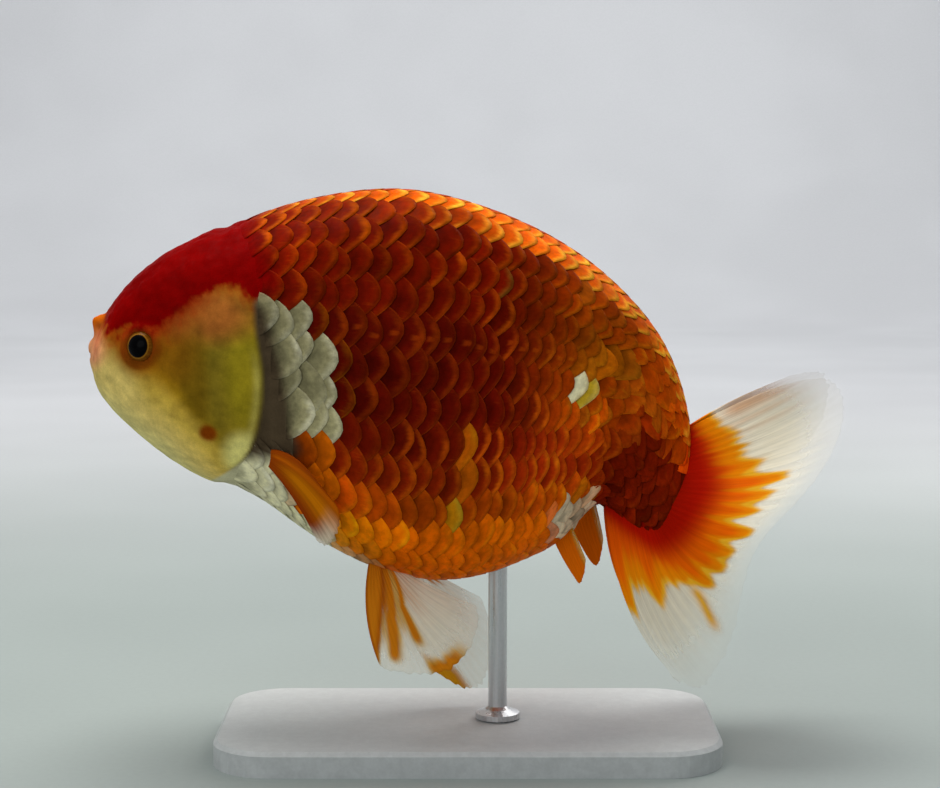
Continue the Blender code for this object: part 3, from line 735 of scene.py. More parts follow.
class Coat:
    """All the scales. Each has two grids of points, an outer and an inner one, from its root to its tip."""

    def __init__(self, seed=11):
        self.rng = np.random.default_rng(seed)
        self.found = scale_list()
        self.across = np.sin(np.linspace(-1, 1, SCALE_GRID[0]) * math.pi / 2)
        self.up = np.linspace(0, 1, SCALE_GRID[1])
        self.outline = 0.3 + 0.7 * (1 - np.abs(self.across) ** 1.7) ** 0.77
        self.lay_out()
        self.share, self.place, self.middles = scale_middles(self.found)
        self.root_place = LATTICE.place(self.found[:, 1], self.share)
        self.colour()

    def chance(self, *size):
        """A random value between -2 and 2 for each scale, near 0 as a rule."""
        return self.rng.normal(size=(len(self.found), *size)).clip(-2, 2)

    def lay_out(self):
        found = self.found
        share, _, middles = scale_middles(found)
        self.silvered = silver_at(middles[:, 0], middles[:, 2], 0.1)
        # Scales lie less evenly on the silver patch, and at the rear except on the ridge.
        uneven = smooth(found[:, 1] / SCALE_COLUMNS, 0.52, 0.72) * smooth(np.abs(found[:, 0]), 2, 5)
        self.loose = loose = 1 + 0.5 * self.silvered + 2.0 * uneven
        size = 1 + 0.05 * loose * self.chance()
        broad = size * (1 + 0.85 * (found[:, 1] >= STEM_COLUMN))
        turn = 0.06 * loose * self.chance()
        stand = 0.008 * loose * self.chance()
        self.found = found = found + 0.09 * (loose - 1)[:, None] * self.chance(2)
        # The rear edge leans: its upper end lies farther back.
        skew = np.interp(np.abs(share), (0.0, 0.08, 0.3, 0.45, 1.0), (0.0, 0.24, 0.2, 0.06, 0.08))
        self.below = spread(np.sign(found[:, 0] + 0.01)) * self.across
        reach = self.up[:, None] * self.outline * (1 - spread(skew) * self.below) * SCALE_REACH
        row = spread(found[:, 0]) + self.across * SCALE_SPREAD * spread(broad) + spread(turn) * reach
        column = spread(found[:, 1]) + reach * spread(size)
        place = LATTICE.place(column, row * 2 / SCALE_ROWS)
        angle = GIRTH.angle(place, row * 2 / SCALE_ROWS)
        tip = reach / SCALE_REACH
        crown = np.sin(math.pi * tip)
        lift = -0.28 + 0.19 * tip - 0.9 * (1 - tip) ** 4 + 0.04 * (1 - self.across**2) * crown
        lift = lift + spread(stand) * tip
        thick = 0.008 + 0.02 * crown
        self.grids = np.stack([on_body(place, angle, lift), on_body(place, angle, lift - thick)], 1)
        column_mm = COLUMN_LENGTH * (1 - 0.35 * smooth(place, 11.0, 16.0))
        self.from_edge = (reach[:, -1:] - reach) * column_mm

    def colour(self):
        share = np.abs(self.share)
        centre = body_paint(self.middles, self.place, share, soft=0.1).rgb
        rim = body_paint(self.middles, self.place, share, "_rim", 0.1).rgb
        tone = (1 + 0.09 * self.loose**0.7 * self.chance())[:, None]
        centre, rim = centre * tone, rim * tone
        # Some scales towards the tail stem are more golden.
        odd = self.rng.random(len(share))
        golden = (odd < 0.4) & (self.place > 12.2) & (self.place < 15.2) & (share < 0.55)
        hue = np.where(golden, self.rng.uniform(0.0, 0.2, len(share)), 0)[:, None]
        mark = MARK_LEAST + (1 - MARK_LEAST) * self.rng.random(len(share)) ** 2
        self.mark = np.maximum(mark, RIDGE_HIGHLIGHT * smooth(share, 0.2, 0.1))
        self.centre = centre + (PALETTE["yellow"] * 0.75 - centre) * hue * 0.6
        self.rim = rim + (PALETTE["yellow"] - rim) * hue
        x, y, z = self.middles.T
        for odd_x, odd_z, inner, outer in ODD_SCALES:
            nearest = np.argmin(np.hypot(x - odd_x, z - odd_z) + 99 * (y > 0))
            self.centre[nearest], self.rim[nearest] = PALETTE[inner], PALETTE[outer]

    def add_piece(self, name, pick, material):
        """One mesh of the scales that are picked."""
        grids = self.grids[pick]
        points = grids.reshape(-1, 3)
        quads = sheet_quads(*SCALE_GRID[::-1])
        firsts = np.arange(len(pick)) * grids[0].size // 3
        mesh = build_mesh(name, points, quads + spread(firsts))
        owner = np.repeat(pick, grids[0].size // 3)  # the scale of each point
        for attribute, kind, tones in (("Tone", "", self.centre), ("Rim", "_rim", self.rim)):
            paint = Paint("flank", len(points))
            paint.rgb = tones[owner]
            lay_over(paint, points[:, 0], points[:, 2], kind)
            add_colour(mesh, attribute, paint.rgb)
        # Near the hood the scales are one with the skin, so their roots get no painted shade.
        edge = self.from_edge[pick][:, None].repeat(2, 1).ravel()
        limit = EDGE_LIMIT - NAPE_LESS * nape_at(points[:, 0], points[:, 2])
        add_attribute(mesh, "FromEdge", np.minimum(edge, limit))
        add_attribute(mesh, "Below", np.broadcast_to(self.below[pick][:, None], grids.shape[:-1]))
        add_attribute(mesh, "Foil", self.silvered[owner])
        add_attribute(mesh, "Mark", self.mark[owner])
        pore = (np.abs(self.found[:, 0]).round() == PORE_ROW) & (self.middles[:, 0] > PORE_START)
        add_attribute(mesh, "Pore", pore[owner])
        grain = np.zeros(grids.shape)
        grain[..., 0] = self.across * 3.9
        grain[..., 1] = self.up[:, None] * self.outline * SCALE_REACH
        grain[..., 2] = (self.found[pick] @ (17.3, 7.7))[:, None, None, None]
        add_attribute(mesh, "Grain", grain, "FLOAT_VECTOR", "vector")
        self.add_map(mesh, pick)
        add_piece(mesh, material, ())

    def add_map(self, mesh, pick):
        """The OFBake map: each scale is a small patch at its root's place on the unwrapped body."""
        root = np.stack([self.root_place[pick] / (LAST + 1), (self.share[pick] + 1) / 2], -1) * 0.94 + 0.03
        cell = np.stack(np.meshgrid(self.across, self.up * 2 - 1), -1) / 2 * PATCH
        uv = (root[:, None, None, None] + cell).repeat(2, 1).reshape(-1, 2)
        corners = np.empty(len(mesh.loops), np.int32)
        mesh.loops.foreach_get("vertex_index", corners)
        mesh.uv_layers.new(name="OFBake").uv.foreach_set("vector", uv[corners].astype(np.float32).ravel())


def make_scales(material):
    coat = Coat()
    lower = np.abs(coat.share) > 0.5
    right = coat.share < 0
    # Scales are left out in the dark gap behind the gill cover, where painted shadow lies on the skin.
    kept = gill_shadow_at(coat.middles[:, 0], coat.middles[:, 2]) < 0.5
    for word, on_side in (("left", ~right), ("right", right)):
        for height, at_height in (("upper", ~lower), ("lower", lower)):
            coat.add_piece(f"scales_{height}_{word}", np.flatnonzero(kept & on_side & at_height), material)


class Nodes:
    """Short ways to add shader nodes to a material."""

    def __init__(self, name, roughness, specular):
        self.material = bpy.data.materials.new(name)
        self.material.use_nodes = True
        self.tree = self.material.node_tree
        self.shader = self.tree.nodes["Principled BSDF"]
        self.set("Roughness", roughness)
        self.set("Specular IOR Level", specular)

    def put(self, node, socket, value):
        if isinstance(value, bpy.types.NodeSocket):
            self.tree.links.new(value, node.inputs[socket])
        else:
            node.inputs[socket].default_value = value

    def set(self, socket, value):
        self.put(self.shader, socket, value)

    def add(self, kind, inputs=(), output=0, **settings):
        """The output of a new node; inputs are pairs of a socket and its value."""
        node = self.tree.nodes.new("ShaderNode" + kind)
        for name, value in settings.items():
            setattr(node, name, value)
        for socket, value in inputs:
            self.put(node, socket, value)
        return node.outputs[output]

    def attribute(self, name, output="Fac"):
        return self.add("Attribute", (), output, attribute_name=name)

    def math(self, operation, *values):
        return self.add("Math", enumerate(values), operation=operation)

    def chain(self, operation, total, *values):
        for value in values:
            total = self.math(operation, total, value)
        return total

    def times(self, *values):
        return self.chain("MULTIPLY", *values)

    def plus(self, *values):
        return self.chain("ADD", *values)

    def remap(self, value, low, high, to_low=0.0, to_high=1.0):
        inputs = enumerate((value, low, high, to_low, to_high))
        return self.add("MapRange", inputs, interpolation_type="SMOOTHSTEP")

    def grade(self, noise, low, high):
        """Most of a noise's range, from 0.3 to 0.7, spread from low to high."""
        return self.remap(noise, 0.3, 0.7, low, high)

    def mix(self, factor, first, second, blend="MIX"):
        inputs = (("Factor", factor), (6, first), (7, second))
        return self.add("Mix", inputs, 2, data_type="RGBA", blend_type=blend, clamp_factor=True)

    def tint(self, colour, *shades):
        """A colour made lighter or darker by the product of the shades."""
        grey = self.add("CombineColor", enumerate([self.times(*shades)] * 3))
        return self.mix(1.0, colour, grey, "MULTIPLY")

    def noise(self, vector, scale, detail=3.0, roughness=0.6):
        inputs = (("Vector", vector), ("Scale", scale), ("Detail", detail), ("Roughness", roughness))
        return self.add("TexNoise", inputs, "Fac")

    def split(self, vector, axis=0):
        return self.add("SeparateXYZ", ((0, vector),), axis)

    def stretch(self, vector, scale):
        return self.add("Mapping", (("Vector", vector), ("Scale", scale)))

    def object_place(self):
        return self.add("TexCoord", (), "Object")

    def bump(self, height, strength, distance_mm):
        inputs = (("Height", height), ("Strength", strength), ("Distance", distance_mm * MM))
        self.set("Normal", self.add("Bump", inputs))


def rgba(name):
    return (*PALETTE[name], 1.0)


def skin_material():
    n = Nodes("goldfish_skin", 0.45, 0.004)
    where = n.object_place()
    coarse, fine, grain = n.noise(where, 260), n.noise(where, 900), n.noise(where, 3200, 2.0)
    mottle = n.grade(coarse, 0.86, 1.12)
    speck = n.grade(grain, 0.93, 1.06)
    n.set("Base Color", n.tint(n.attribute("Tone", "Color"), mottle, speck))
    n.set("Roughness", n.grade(fine, 0.42, 0.62))
    n.bump(n.plus(fine, n.times(grain, 0.4)), 0.35, 0.12)
    return n.material


def scale_material():
    n = Nodes("goldfish_scales", 0.4, 0.004)
    names = ("FromEdge", "Below", "Mark", "Pore", "Foil")
    edge, below, mark, pore, foil = (n.attribute(name) for name in names)
    grain, where = n.attribute("Grain", "Vector"), n.object_place()
    across = n.math("ABSOLUTE", n.split(grain))
    rays = n.noise(n.stretch(grain, (2.4, 0.35, 1.0)), 1.0, 3.0)
    rings = n.noise(n.stretch(grain, (0.5, 4.0, 1.0)), 1.0, 2.0)
    blotch = n.noise(n.stretch(grain, (0.22, 0.4, 1.0)), 1.0, 1.0)
    patchy = n.noise(n.stretch(grain, (0.9, 2.2, 1.0)), 1.0, 3.0)
    # The rim's colour: a line on the rear edge, brighter on the scale's lower half as a painted highlight
    # from light above, a glow inside it, streaks and the lateral line's dash
    line = n.times(
        n.remap(edge, 0.7, 0.15),
        n.remap(below, -0.9, 0.2, 0.65, 1.0),
        n.remap(mark, 0.2, 0.8, 0.6, 1.0),
        n.remap(blotch, 0.3, 0.65, 0.22, 0.75),
    )
    ragged = n.plus(edge, n.remap(rays, 0.2, 0.8, -0.3, 0.3))
    glow = n.times(
        n.remap(ragged, 2.1, 0.3),
        n.remap(blotch, 0.38, 0.64, 0.2, 0.9),
        mark,
        n.remap(across, 3.6, 1.2, 0.1, 1.35),
    )
    streak = n.times(n.remap(rays, 0.55, 0.75, 0.0, 0.22), n.remap(edge, 3.0, 1.0))
    dash = n.times(
        n.remap(across, 0.5, 0.15), pore, n.remap(edge, 0.5, 1.1), n.remap(edge, 3.0, 1.8, 0.0, 0.42)
    )
    share = n.chain("MAXIMUM", line, glow, streak, dash)
    colour = n.mix(share, n.attribute("Tone", "Color"), n.attribute("Rim", "Color"))
    # Each scale's root is darker, a painted shade where it comes out from under the scale ahead, and the
    # silver scales are crumpled like foil.
    creases = n.noise(where, 620.0, 4.0, 0.7)
    shades = (
        n.grade(patchy, 0.84, 1.16),
        n.grade(n.noise(where, 110.0, 2.0), 0.84, 1.16),
        # painted shade towards the root
        n.remap(edge, 3.8, 2.0, 0.66, 1.0),
        # Painted highlights and shade on the creases of the silver scales' foil
        n.plus(n.times(foil, n.remap(creases, 0.34, 0.68, -0.13, 0.18)), 1.0),
    )
    n.set("Base Color", n.tint(colour, *shades))
    n.set("Roughness", n.grade(rings, 0.34, 0.52))
    n.bump(n.plus(rays, n.times(rings, 0.6), n.times(foil, creases, 4.0)), 0.25, 0.12)
    return n.material


def fin_material(name):
    n = Nodes(name, 0.55, 0.01)
    fibre = n.noise(n.attribute("Grain", "Vector"), 1.0, 2.0)
    speck = n.noise(n.object_place(), 1100, 2.0)
    wave = n.math("COSINE", n.times(n.attribute("Rays"), 2 * math.pi))
    shades = n.remap(wave, -1.0, 1.0, 0.97, 1.02), n.grade(fibre, 0.93, 1.06)
    n.set("Base Color", n.tint(n.attribute("Tone", "Color"), *shades))
    n.set("Roughness", n.grade(speck, 0.5, 0.68))
    # The web between two rays is clearer than the rays, and the solid root isn't clear at all.
    solid = n.attribute("Cover")
    clear = n.times(solid, n.remap(wave, -1.0, 0.6, 0.86, 1.0), n.remap(fibre, 0.3, 0.65, 0.9, 1.06))
    alpha = n.math("MAXIMUM", clear, n.remap(solid, 0.75, 1.0))
    n.set("Alpha", n.math("MINIMUM", alpha, 1.0))
    n.bump(n.plus(n.times(n.remap(wave, -1.0, 1.0), 0.4), fibre), 0.05, 0.1)
    return n.material


def eye_material():
    n = Nodes("goldfish_eye", 0.2, 0.03)
    reach = n.attribute("Reach")
    spokes = n.noise(n.attribute("Grain", "Vector"), 1.0, 3.0)
    iris = n.mix(n.remap(spokes, 0.35, 0.75, 0.0, 0.35), rgba("iris"), rgba("gold"))
    iris = n.mix(n.remap(reach, 2.5, 2.95), iris, rgba("iris_rim"))
    ring = n.times(n.remap(reach, PUPIL_RADIUS, PUPIL_RADIUS + 0.08), n.remap(reach, 2.34, 2.2), 0.7)
    iris = n.mix(ring, iris, rgba("gold"))
    colour = n.mix(n.remap(reach, PUPIL_RADIUS + 0.06, PUPIL_RADIUS - 0.06), iris, rgba("pupil"))
    n.set("Base Color", colour)
    n.set("Roughness", n.grade(spokes, 0.16, 0.26))
    return n.material


def stand_material(name, colour, metallic, roughness, spacing, lengthwise):
    n = Nodes(name, roughness, 0.4)
    where = n.object_place()
    brushed = n.noise(n.stretch(where, lengthwise), spacing, 4.0)
    fine = n.noise(where, 1600, 2.0)
    shades = n.grade(brushed, 0.93, 1.05), n.grade(fine, 0.97, 1.02)
    n.set("Base Color", n.tint((*colour, 1.0), *shades))
    n.set("Metallic", metallic)
    n.set("Roughness", n.grade(brushed, roughness - 0.06, roughness + 0.08))
    n.bump(n.plus(fine, brushed), 0.25, 0.08)
    return n.material


EYE_ROWS, EYE_AROUND = 44, 64
CORNEA_RISE = 0.15


def make_eye(side, word, material):
    """A globe whose pupil is a slightly upright oval."""
    middle, axis = eye_axis(side)
    upright = np.array((0.12, 0, 1.0))
    up = unit(upright - axis * np.dot(upright, axis))
    ahead = np.cross(up, axis)
    tilt = np.linspace(0, 1, EYE_ROWS + 1)[1:] ** 1.4 * math.pi * 0.62
    turn = np.linspace(0, 2 * math.pi, EYE_AROUND, endpoint=False)
    tilt, turn = (grid.ravel() for grid in np.meshgrid(tilt, turn, indexing="ij"))
    flat = EYE_RADIUS * np.sin(tilt)
    high, wide = flat * np.cos(turn), flat * np.sin(turn)
    in_front = tilt < math.pi / 2
    depth = EYE_RADIUS * np.cos(tilt) + CORNEA_RISE * bump(flat, 2.4) * in_front
    points = middle + depth[:, None] * axis + high[:, None] * up + wide[:, None] * ahead
    tips = [middle + axis * (EYE_RADIUS + CORNEA_RISE), middle - axis * EYE_RADIUS * 0.4]
    quads, triangles = grid_quads(EYE_ROWS, EYE_AROUND, True), ring_caps(EYE_ROWS, EYE_AROUND)
    mesh = build_mesh(f"eye_globe_{word}", np.concatenate([points, tips]), quads, triangles)
    reach = np.where(in_front, np.hypot(high / 1.07, wide / 1.02), EYE_RADIUS)
    add_attribute(mesh, "Reach", np.append(reach, (0, EYE_RADIUS)))
    grain = np.stack([turn * 5.0, reach * 0.8, np.full_like(turn, 3.0 * side)], -1)
    add_attribute(mesh, "Grain", np.concatenate([grain, grain[:1], grain[-1:]]), "FLOAT_VECTOR", "vector")
    return add_piece(mesh, material, [f"eye_{word}"])


ROOT_SINK = 1.2  # how far a fin's root lies inside the body

# The middle sheets of the fins: the root's places on the body (section number and angle from the back), then
# points of the bend and of the edge (x, out to the side, z), and the height and number of the ripples.
FAN_SHAPES = {
    "tail": (
        ((15.9, 8), (16.6, 42), (16.8, 85), (16.8, 128), (15.4, 164)),
        ((54.2, 4.2, 70.8), (57.6, 11.8, 58.4), (51.6, 18.0, 45.4), (39.0, 16.0, 33.0), (28.4, 13.8, 27.9)),
        (
            *((64.9, 5.8, 74.4), (69.9, 6.6, 75.0), (72.8, 7.6, 73.4), (73.6, 9.8, 69.0), (71.6, 14.0, 62.4)),
            *((67.4, 19.0, 56.6), (61.8, 22.4, 51.8), (56.2, 24.2, 47.2), (53.0, 24.6, 40.4)),
            *((52.0, 23.8, 32.6), (50.2, 21.4, 24.2), (47.0, 18.8, 17.8), (44.0, 17.2, 15.2)),
            (40.8, 16.4, 17.4),
        ),
        (0.8, 2.5),
    ),
    "pectoral": (
        ((7.40, 119), (7.38, 123), (7.36, 127)),
        ((-32.0, 27.4, 63.6), (-32.2, 25.8, 58.8), (-33.4, 24.6, 55.4)),
        (
            *((-27.1, 28.4, 56.5), (-24.8, 28.2, 52.5), (-24.4, 27.8, 49.4)),
            *((-25.2, 27.0, 46.8), (-26.8, 26.0, 45.0), (-28.8, 25.2, 45.6)),
        ),
        (0.5, 1.5),
    ),
    "pelvic_left": (
        ((8.96, 163), (9.1, 164), (9.28, 164)),
        ((-21.4, 16.6, 30.9), (-12.0, 17.0, 29.0), (-7.0, 11.6, 34.0)),
        (
            *((-17.4, 20.6, 20.8), (-14.6, 22.4, 19.9), (-9.6, 23.6, 19.8), (-4.4, 23.0, 20.4)),
            *((-0.4, 21.4, 23.0), (1.9, 18.0, 27.6), (1.6, 14.4, 31.4)),
        ),
        (0.5, 2.0),
    ),
    "pelvic_right": (
        ((8.96, 163), (9.1, 164), (9.28, 164)),
        ((-15.4, 12.0, 24.0), (-8.4, 12.6, 25.0), (-4.4, 11.6, 31.0)),
        (
            *((-8.6, 12.2, 12.8), (-4.2, 11.8, 10.4), (0.2, 11.4, 8.6), (3.2, 11.8, 10.2)),
            *((4.6, 12.8, 15.4), (4.4, 13.2, 22.4), (2.6, 12.8, 27.4)),
        ),
        (0.5, 2.0),
    ),
    "anal_left": (
        ((12.0, 168), (12.5, 167), (12.95, 166)),
        ((19.4, 5.6, 37.4), (20.8, 5.8, 38.4), (22.6, 5.6, 41.0)),
        ((21.5, 5.8, 34.8), (22.3, 6.0, 34.0), (23.1, 6.0, 36.0), (23.4, 6.0, 38.8)),
        (0.0, 3.0),
    ),
    "anal_right": (
        ((12.9, 167), (13.9, 165), (14.8, 160)),
        ((22.6, 5.2, 39.8), (24.6, 5.8, 40.8), (27.2, 5.8, 43.6)),
        ((24.8, 5.6, 36.6), (26.2, 6.0, 35.4), (27.1, 6.0, 37.4), (27.6, 5.8, 40.8)),
        (0.0, 3.0),
    ),
}


class Fan:
    """A fin's middle sheet: rays that leave a root curve, lean on a bend curve and end on an edge curve."""

    def __init__(self, side, root, bend, edge, ripples):
        self.root = Curve([on_body(place, -side * angle, -ROOT_SINK) for place, angle in root])
        self.bend, self.edge = (Curve(np.array(line) * (1, side, 1)) for line in (bend, edge))
        self.ripple, self.waves = ripples

    def plain(self, across, along):
        near, middle, far = self.root(across), self.bend(across), self.edge(across)
        along = along[..., None]
        keep = 1 - along
        return near * keep**2 + middle * 2 * keep * along + far * along**2

    def normal(self, across, along):
        step = 0.02
        left, right = np.maximum(across - step, 0), np.minimum(across + step, 1)
        near, far = np.maximum(along - step, 0), np.minimum(along + step, 1)
        wide = self.plain(right, along) - self.plain(left, along)
        deep = self.plain(across, far) - self.plain(across, near)
        return unit(np.cross(wide, deep))

    def point(self, across, along):
        wave = np.sin(2 * math.pi * self.waves * across + 2.2 * along)
        height = self.ripple * wave * along**2
        return self.plain(across, along) + self.normal(across, along) * height[..., None]


# How far the tail's orange, and its red root, run along the rays, at shares across the fin.
TAIL_ORANGE = (
    (0.0, 0.1, 0.2, 0.3, 0.4, 0.5, 0.6, 0.7, 0.8, 0.9, 1.0),
    (0.24, 0.32, 0.35, 0.39, 0.45, 0.50, 0.55, 0.50, 0.36, 0.35, 0.42),
)
TAIL_RED = ((0.0, 0.165, 0.365, 0.55, 0.76, 0.84, 1.0), (0.05, 0.09, 0.21, 0.2, 0.13, 0.07, 0.03))
# The long fingers of the orange: place across the fin, reach and width.
TAIL_FINGERS = (
    *((0.14, 0.37, 0.03), (0.275, 0.48, 0.022), (0.34, 0.72, 0.022), (0.395, 0.64, 0.02)),
    *((0.45, 0.67, 0.02), (0.525, 0.79, 0.02), (0.585, 0.76, 0.018), (0.625, 0.73, 0.016)),
    *((0.675, 0.71, 0.018), (0.735, 0.48, 0.02), (0.825, 0.50, 0.028), (0.985, 0.54, 0.03)),
)


def fingers(across, count, seed, low, high):
    """A ragged limit that changes from ray to ray, between low and high."""
    levels = np.random.default_rng(seed).uniform(low, high, count + 2)
    place = across * count
    i = np.clip(place.astype(int), 0, count)
    notch = 0.5 - 0.5 * np.cos(2 * math.pi * (place - i))
    return levels[i] * notch**0.5


def tail_limit(across, base, grow):
    """How far the tail's orange runs, with its long fingers."""
    limit = base + grow
    for middle, reach, width in TAIL_FINGERS:
        blunt = np.exp(-((np.abs(across - middle) / (width + grow)) ** 2.6))
        limit = limit + np.maximum(reach + 1.5 * grow - limit, 0) * blunt
    return limit


# The next functions take a fin's side and its points' shares across and along it. They give the points'
# colour and cover, which is 1 where the fin isn't clear at all.


def tail_colours(side, across, along):
    """A red root, orange fingers with yellow rims along the rays, and a pale clear web."""
    base = eased(*TAIL_ORANGE, 0.08)(across)
    ragged = fingers(across, 40, 21 + side, -0.04, 0.05)
    limit, outer = (tail_limit(across, base, grow) + ragged for grow in (0.0, 0.007))
    # One orange streak runs along the web of the lower lobe.
    streak = bump(across - 0.715 - 0.03 * smooth(along, 0.6, 0.9), 0.013)
    streak = streak * window(along, 0.5, 0.64, 0.8, 0.96)
    low_lobe = smooth(across, 0.6, 0.8)
    red = np.interp(across, *TAIL_RED)
    paint = Paint("orange", len(across))
    paint.lay("orange_red", smooth(along, base * 0.9, base * 0.3) * (1 - 0.4 * low_lobe))
    paint.lay("root", smooth(along, red * 1.7 + 0.08, red * 0.7))
    paint.lay("finger", smooth(along, limit - 0.22, limit - 0.06) * 0.7)
    paint.lay("streak_rim", smooth(along, limit - 0.05, limit + 0.01) * 0.85)
    # Painted light makes the lower lobe lighter, against the shade it gets below the light from above.
    paint.dim(1 + 0.3 * low_lobe)
    pale = smooth(along, outer - 0.02, outer + 0.05) * (1 - streak)
    paint.lay("cream", pale)
    upper = bump(across - 0.02, 0.035) + 0.5 * bump(across - 0.085, 0.012) + 0.4 * bump(across - 0.13, 0.01)
    paint.lay("pink", upper * 0.8 * smooth(along, 0.25, 0.45))
    return paint.rgb, 1 - pale * (0.3 + 0.62 * smooth(along, 0.5, 1.0))


def pectoral_colours(side, across, along):
    paint = Paint("pectoral", len(across))
    # A painted highlight along the leading ray, near the root
    paint.lay("patch", bump(across - 0.2, 0.08) * 0.5 * smooth(along, 0.05, 0.2))
    paint.lay("finger", bump(across - 0.5, 0.18) * 0.6 * smooth(along, 0.1, 0.5))
    paint.lay("low", smooth(across, 0.80, 0.98) * 0.55)
    paint.dim(1 + 0.2 * fingers(across, 9, 31, -0.6, 0.6))
    pale = smooth(along, 0.8, 1.0) * smooth(across, 0.3, 0.7)
    paint.lay("cream", pale * 0.85)
    return paint.rgb, 1 - pale * 0.45


def pelvic_colours(side, across, along):
    """Leaning orange stripes on a pale web on the left, and a plain pale fin on the hidden right."""
    if side == RIGHT:
        limit = 0.34 + fingers(across, 16, 9, -0.2, 0.2)
        paint = Paint("finger", len(across))
        paint.lay("orange", smooth(along, 0.3, 0.1))
        mark = smooth(along, 0.82, 0.9) * window(across, 0.0, 0.05, 0.26, 0.4)
        pale = smooth(along, limit - 0.1, limit + 0.05) * (1 - mark)
        paint.lay("cream", pale)
        paint.lay("streak_rim", mark * 0.5)
        return paint.rgb, 1 - pale * (0.5 + 0.3 * smooth(along, 0.5, 1.0))
    # The limit of the leading band and the middles of two more stripes, at places along the rays
    lead = np.interp(along, (0.0, 0.35, 0.73, 1.0), (0.42, 0.25, 0.125, 0.02))
    second = np.interp(along, (0.0, 0.25, 0.52, 0.9), (0.58, 0.41, 0.29, 0.22))
    third = np.interp(along, (0.1, 0.4, 0.7), (0.7, 0.49, 0.455))
    band = smooth(across, lead + 0.045, lead - 0.025) * smooth(along, 1.02, 0.94)
    stripes = bump(across - second, 0.07 - 0.03 * smooth(along, 0.5, 0.95)) * smooth(along, 0.96, 0.84)
    stripes += bump(across - third, 0.042) * smooth(along, 0.8, 0.66)
    # The short mark at the edge, and the orange that fills the gaps between the stripes near the root
    mark = smooth(along, 0.84, 0.96) * window(across, 0.38, 0.46, 0.58, 0.74)
    fill = smooth(across, second + 0.03, second - 0.02) * smooth(along, 0.9, 0.6)
    fill = fill * (0.5 + 0.4 * smooth(along, 0.62, 0.35))
    between = smooth(across, third + 0.03, third - 0.02) * smooth(along, 0.74, 0.5) * 0.5
    stripes = np.maximum.reduce([np.clip(np.maximum(band, stripes * 1.2), 0, 1), mark, fill, between])
    streaks = fingers(across, 22, 5, -0.6, 1) * smooth(across, 0.5, 0.65) * smooth(along, 0.7, 0.2)
    streaks = np.clip(streaks, 0, 1)
    paint = Paint("cream", len(across))
    paint.lay("streak_rim", np.clip(stripes * 2.0, 0, 1) * 0.9)
    paint.lay("pelvic", smooth(stripes, 0.45, 0.95) * 0.95)
    rim = bump(across - lead, 0.045) * smooth(along, 0.95, 0.8) + smooth(across, 0.06, 0.0)
    paint.lay("pectoral", np.clip(rim, 0, 1) * stripes * 0.7)
    paint.lay("pelvic", streaks * 0.6)
    pale = 1 - np.maximum(stripes, streaks * 0.5)
    return paint.rgb, 1 - pale * (0.42 + 0.33 * smooth(along, 0.45, 1.0))


def anal_colours(side, across, along):
    paint = Paint("anal", len(across))
    pale = smooth(across, 0.75, 0.98)
    paint.lay("streak_rim", pale * 0.8)
    return paint.rgb, 1 - pale * 0.2


ROOT_THICK, EDGE_THICK = 1.0, 0.14  # of a fin

# Kinds of fin: colours, number of rays, points along a ray and points across the fin.
FINS = {
    "tail": (tail_colours, 34, 56, 250),
    "pectoral": (pectoral_colours, 11, 30, 90),
    "pelvic": (pelvic_colours, 16, 36, 130),
    "anal": (anal_colours, 8, 24, 60),
}


def make_fin(kind, side, word, material):
    colours, rays, rows, columns = FINS[kind]
    name = f"{kind}_web_{word}"
    fan = Fan(side, *(FAN_SHAPES.get(kind) or FAN_SHAPES[f"{kind}_{word}"]))
    shares = np.meshgrid(np.linspace(0, 1, columns), np.linspace(0, 1, rows), indexing="ij")
    across, along = (grid.ravel() for grid in shares)
    # The edge is a little uneven from ray to ray.
    uneven = np.random.default_rng(len(name) * 7 + rays).normal(size=rays + 2) * 0.006
    i = np.clip((across * rays).astype(int), 0, rays)
    beside = across * rays - i
    fray = np.cos(2 * math.pi * beside) * -0.006 + uneven[i] * np.sin(math.pi * beside)
    reach = along * (1 + fray * smooth(along, 0.6, 1.0))
    middle, normal = fan.point(across, reach), fan.normal(across, reach)
    thick = ROOT_THICK + (EDGE_THICK - ROOT_THICK) * smooth(along, -0.1, 0.75)
    rim = np.minimum(np.minimum(across, 1 - across) * columns / 6, 1)
    ridge = 0.96 + 0.04 * np.cos(2 * math.pi * across * rays)
    half = (thick * ridge * (0.55 + 0.45 * rim) / 2)[:, None]
    points = np.concatenate([middle + normal * half, middle - normal * half])
    quads = sheet_quads(columns, rows)
    # The first sheet lies on the side that the normal points to.
    face = quads[(columns - 1) * (rows - 1) // 2]
    a, b, c = (points[face[k]] for k in (0, 1, 3))
    if np.dot(np.cross(b - a, c - a), normal[face[0]]) < 0:
        quads = quads[:, ::-1]
    rgb, cover = colours(side, across, along)
    mesh = build_mesh(name, points, quads)
    add_colour(mesh, "Tone", np.tile(rgb, (2, 1)))
    add_attribute(mesh, "Cover", np.tile(cover, 2))
    add_attribute(mesh, "Rays", np.tile(across * rays, 2))
    grain = np.stack([across * rays * 3.6, along * 2.0, np.full_like(across, rays)], -1)
    add_attribute(mesh, "Grain", np.tile(grain, (2, 1)), "FLOAT_VECTOR", "vector")
    nodes = [f"{kind}_fin_{word}"]
    if kind == "tail":
        nodes = [f"tail_fin_upper_{word}", f"tail_fin_lower_{word}"]
    add_piece(mesh, material, nodes)


def make_fins(material):
    for side, word in SIDES:
        for kind in FINS:
            make_fin(kind, side, word, material)


def finish_stand():
    base = stand_material("stand_base_paint", (0.5, 0.52, 0.515), 0.0, 0.5, 420, (1, 1, 1))
    rod = stand_material("stand_rod_steel", (0.62, 0.62, 0.63), 1.0, 0.32, 300, (6, 6, 0.2))
    for node, material in (("stand_base", base), ("stand_rod", rod)):
        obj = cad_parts[node]
        obj.data.materials.clear()
        obj.data.materials.append(material)


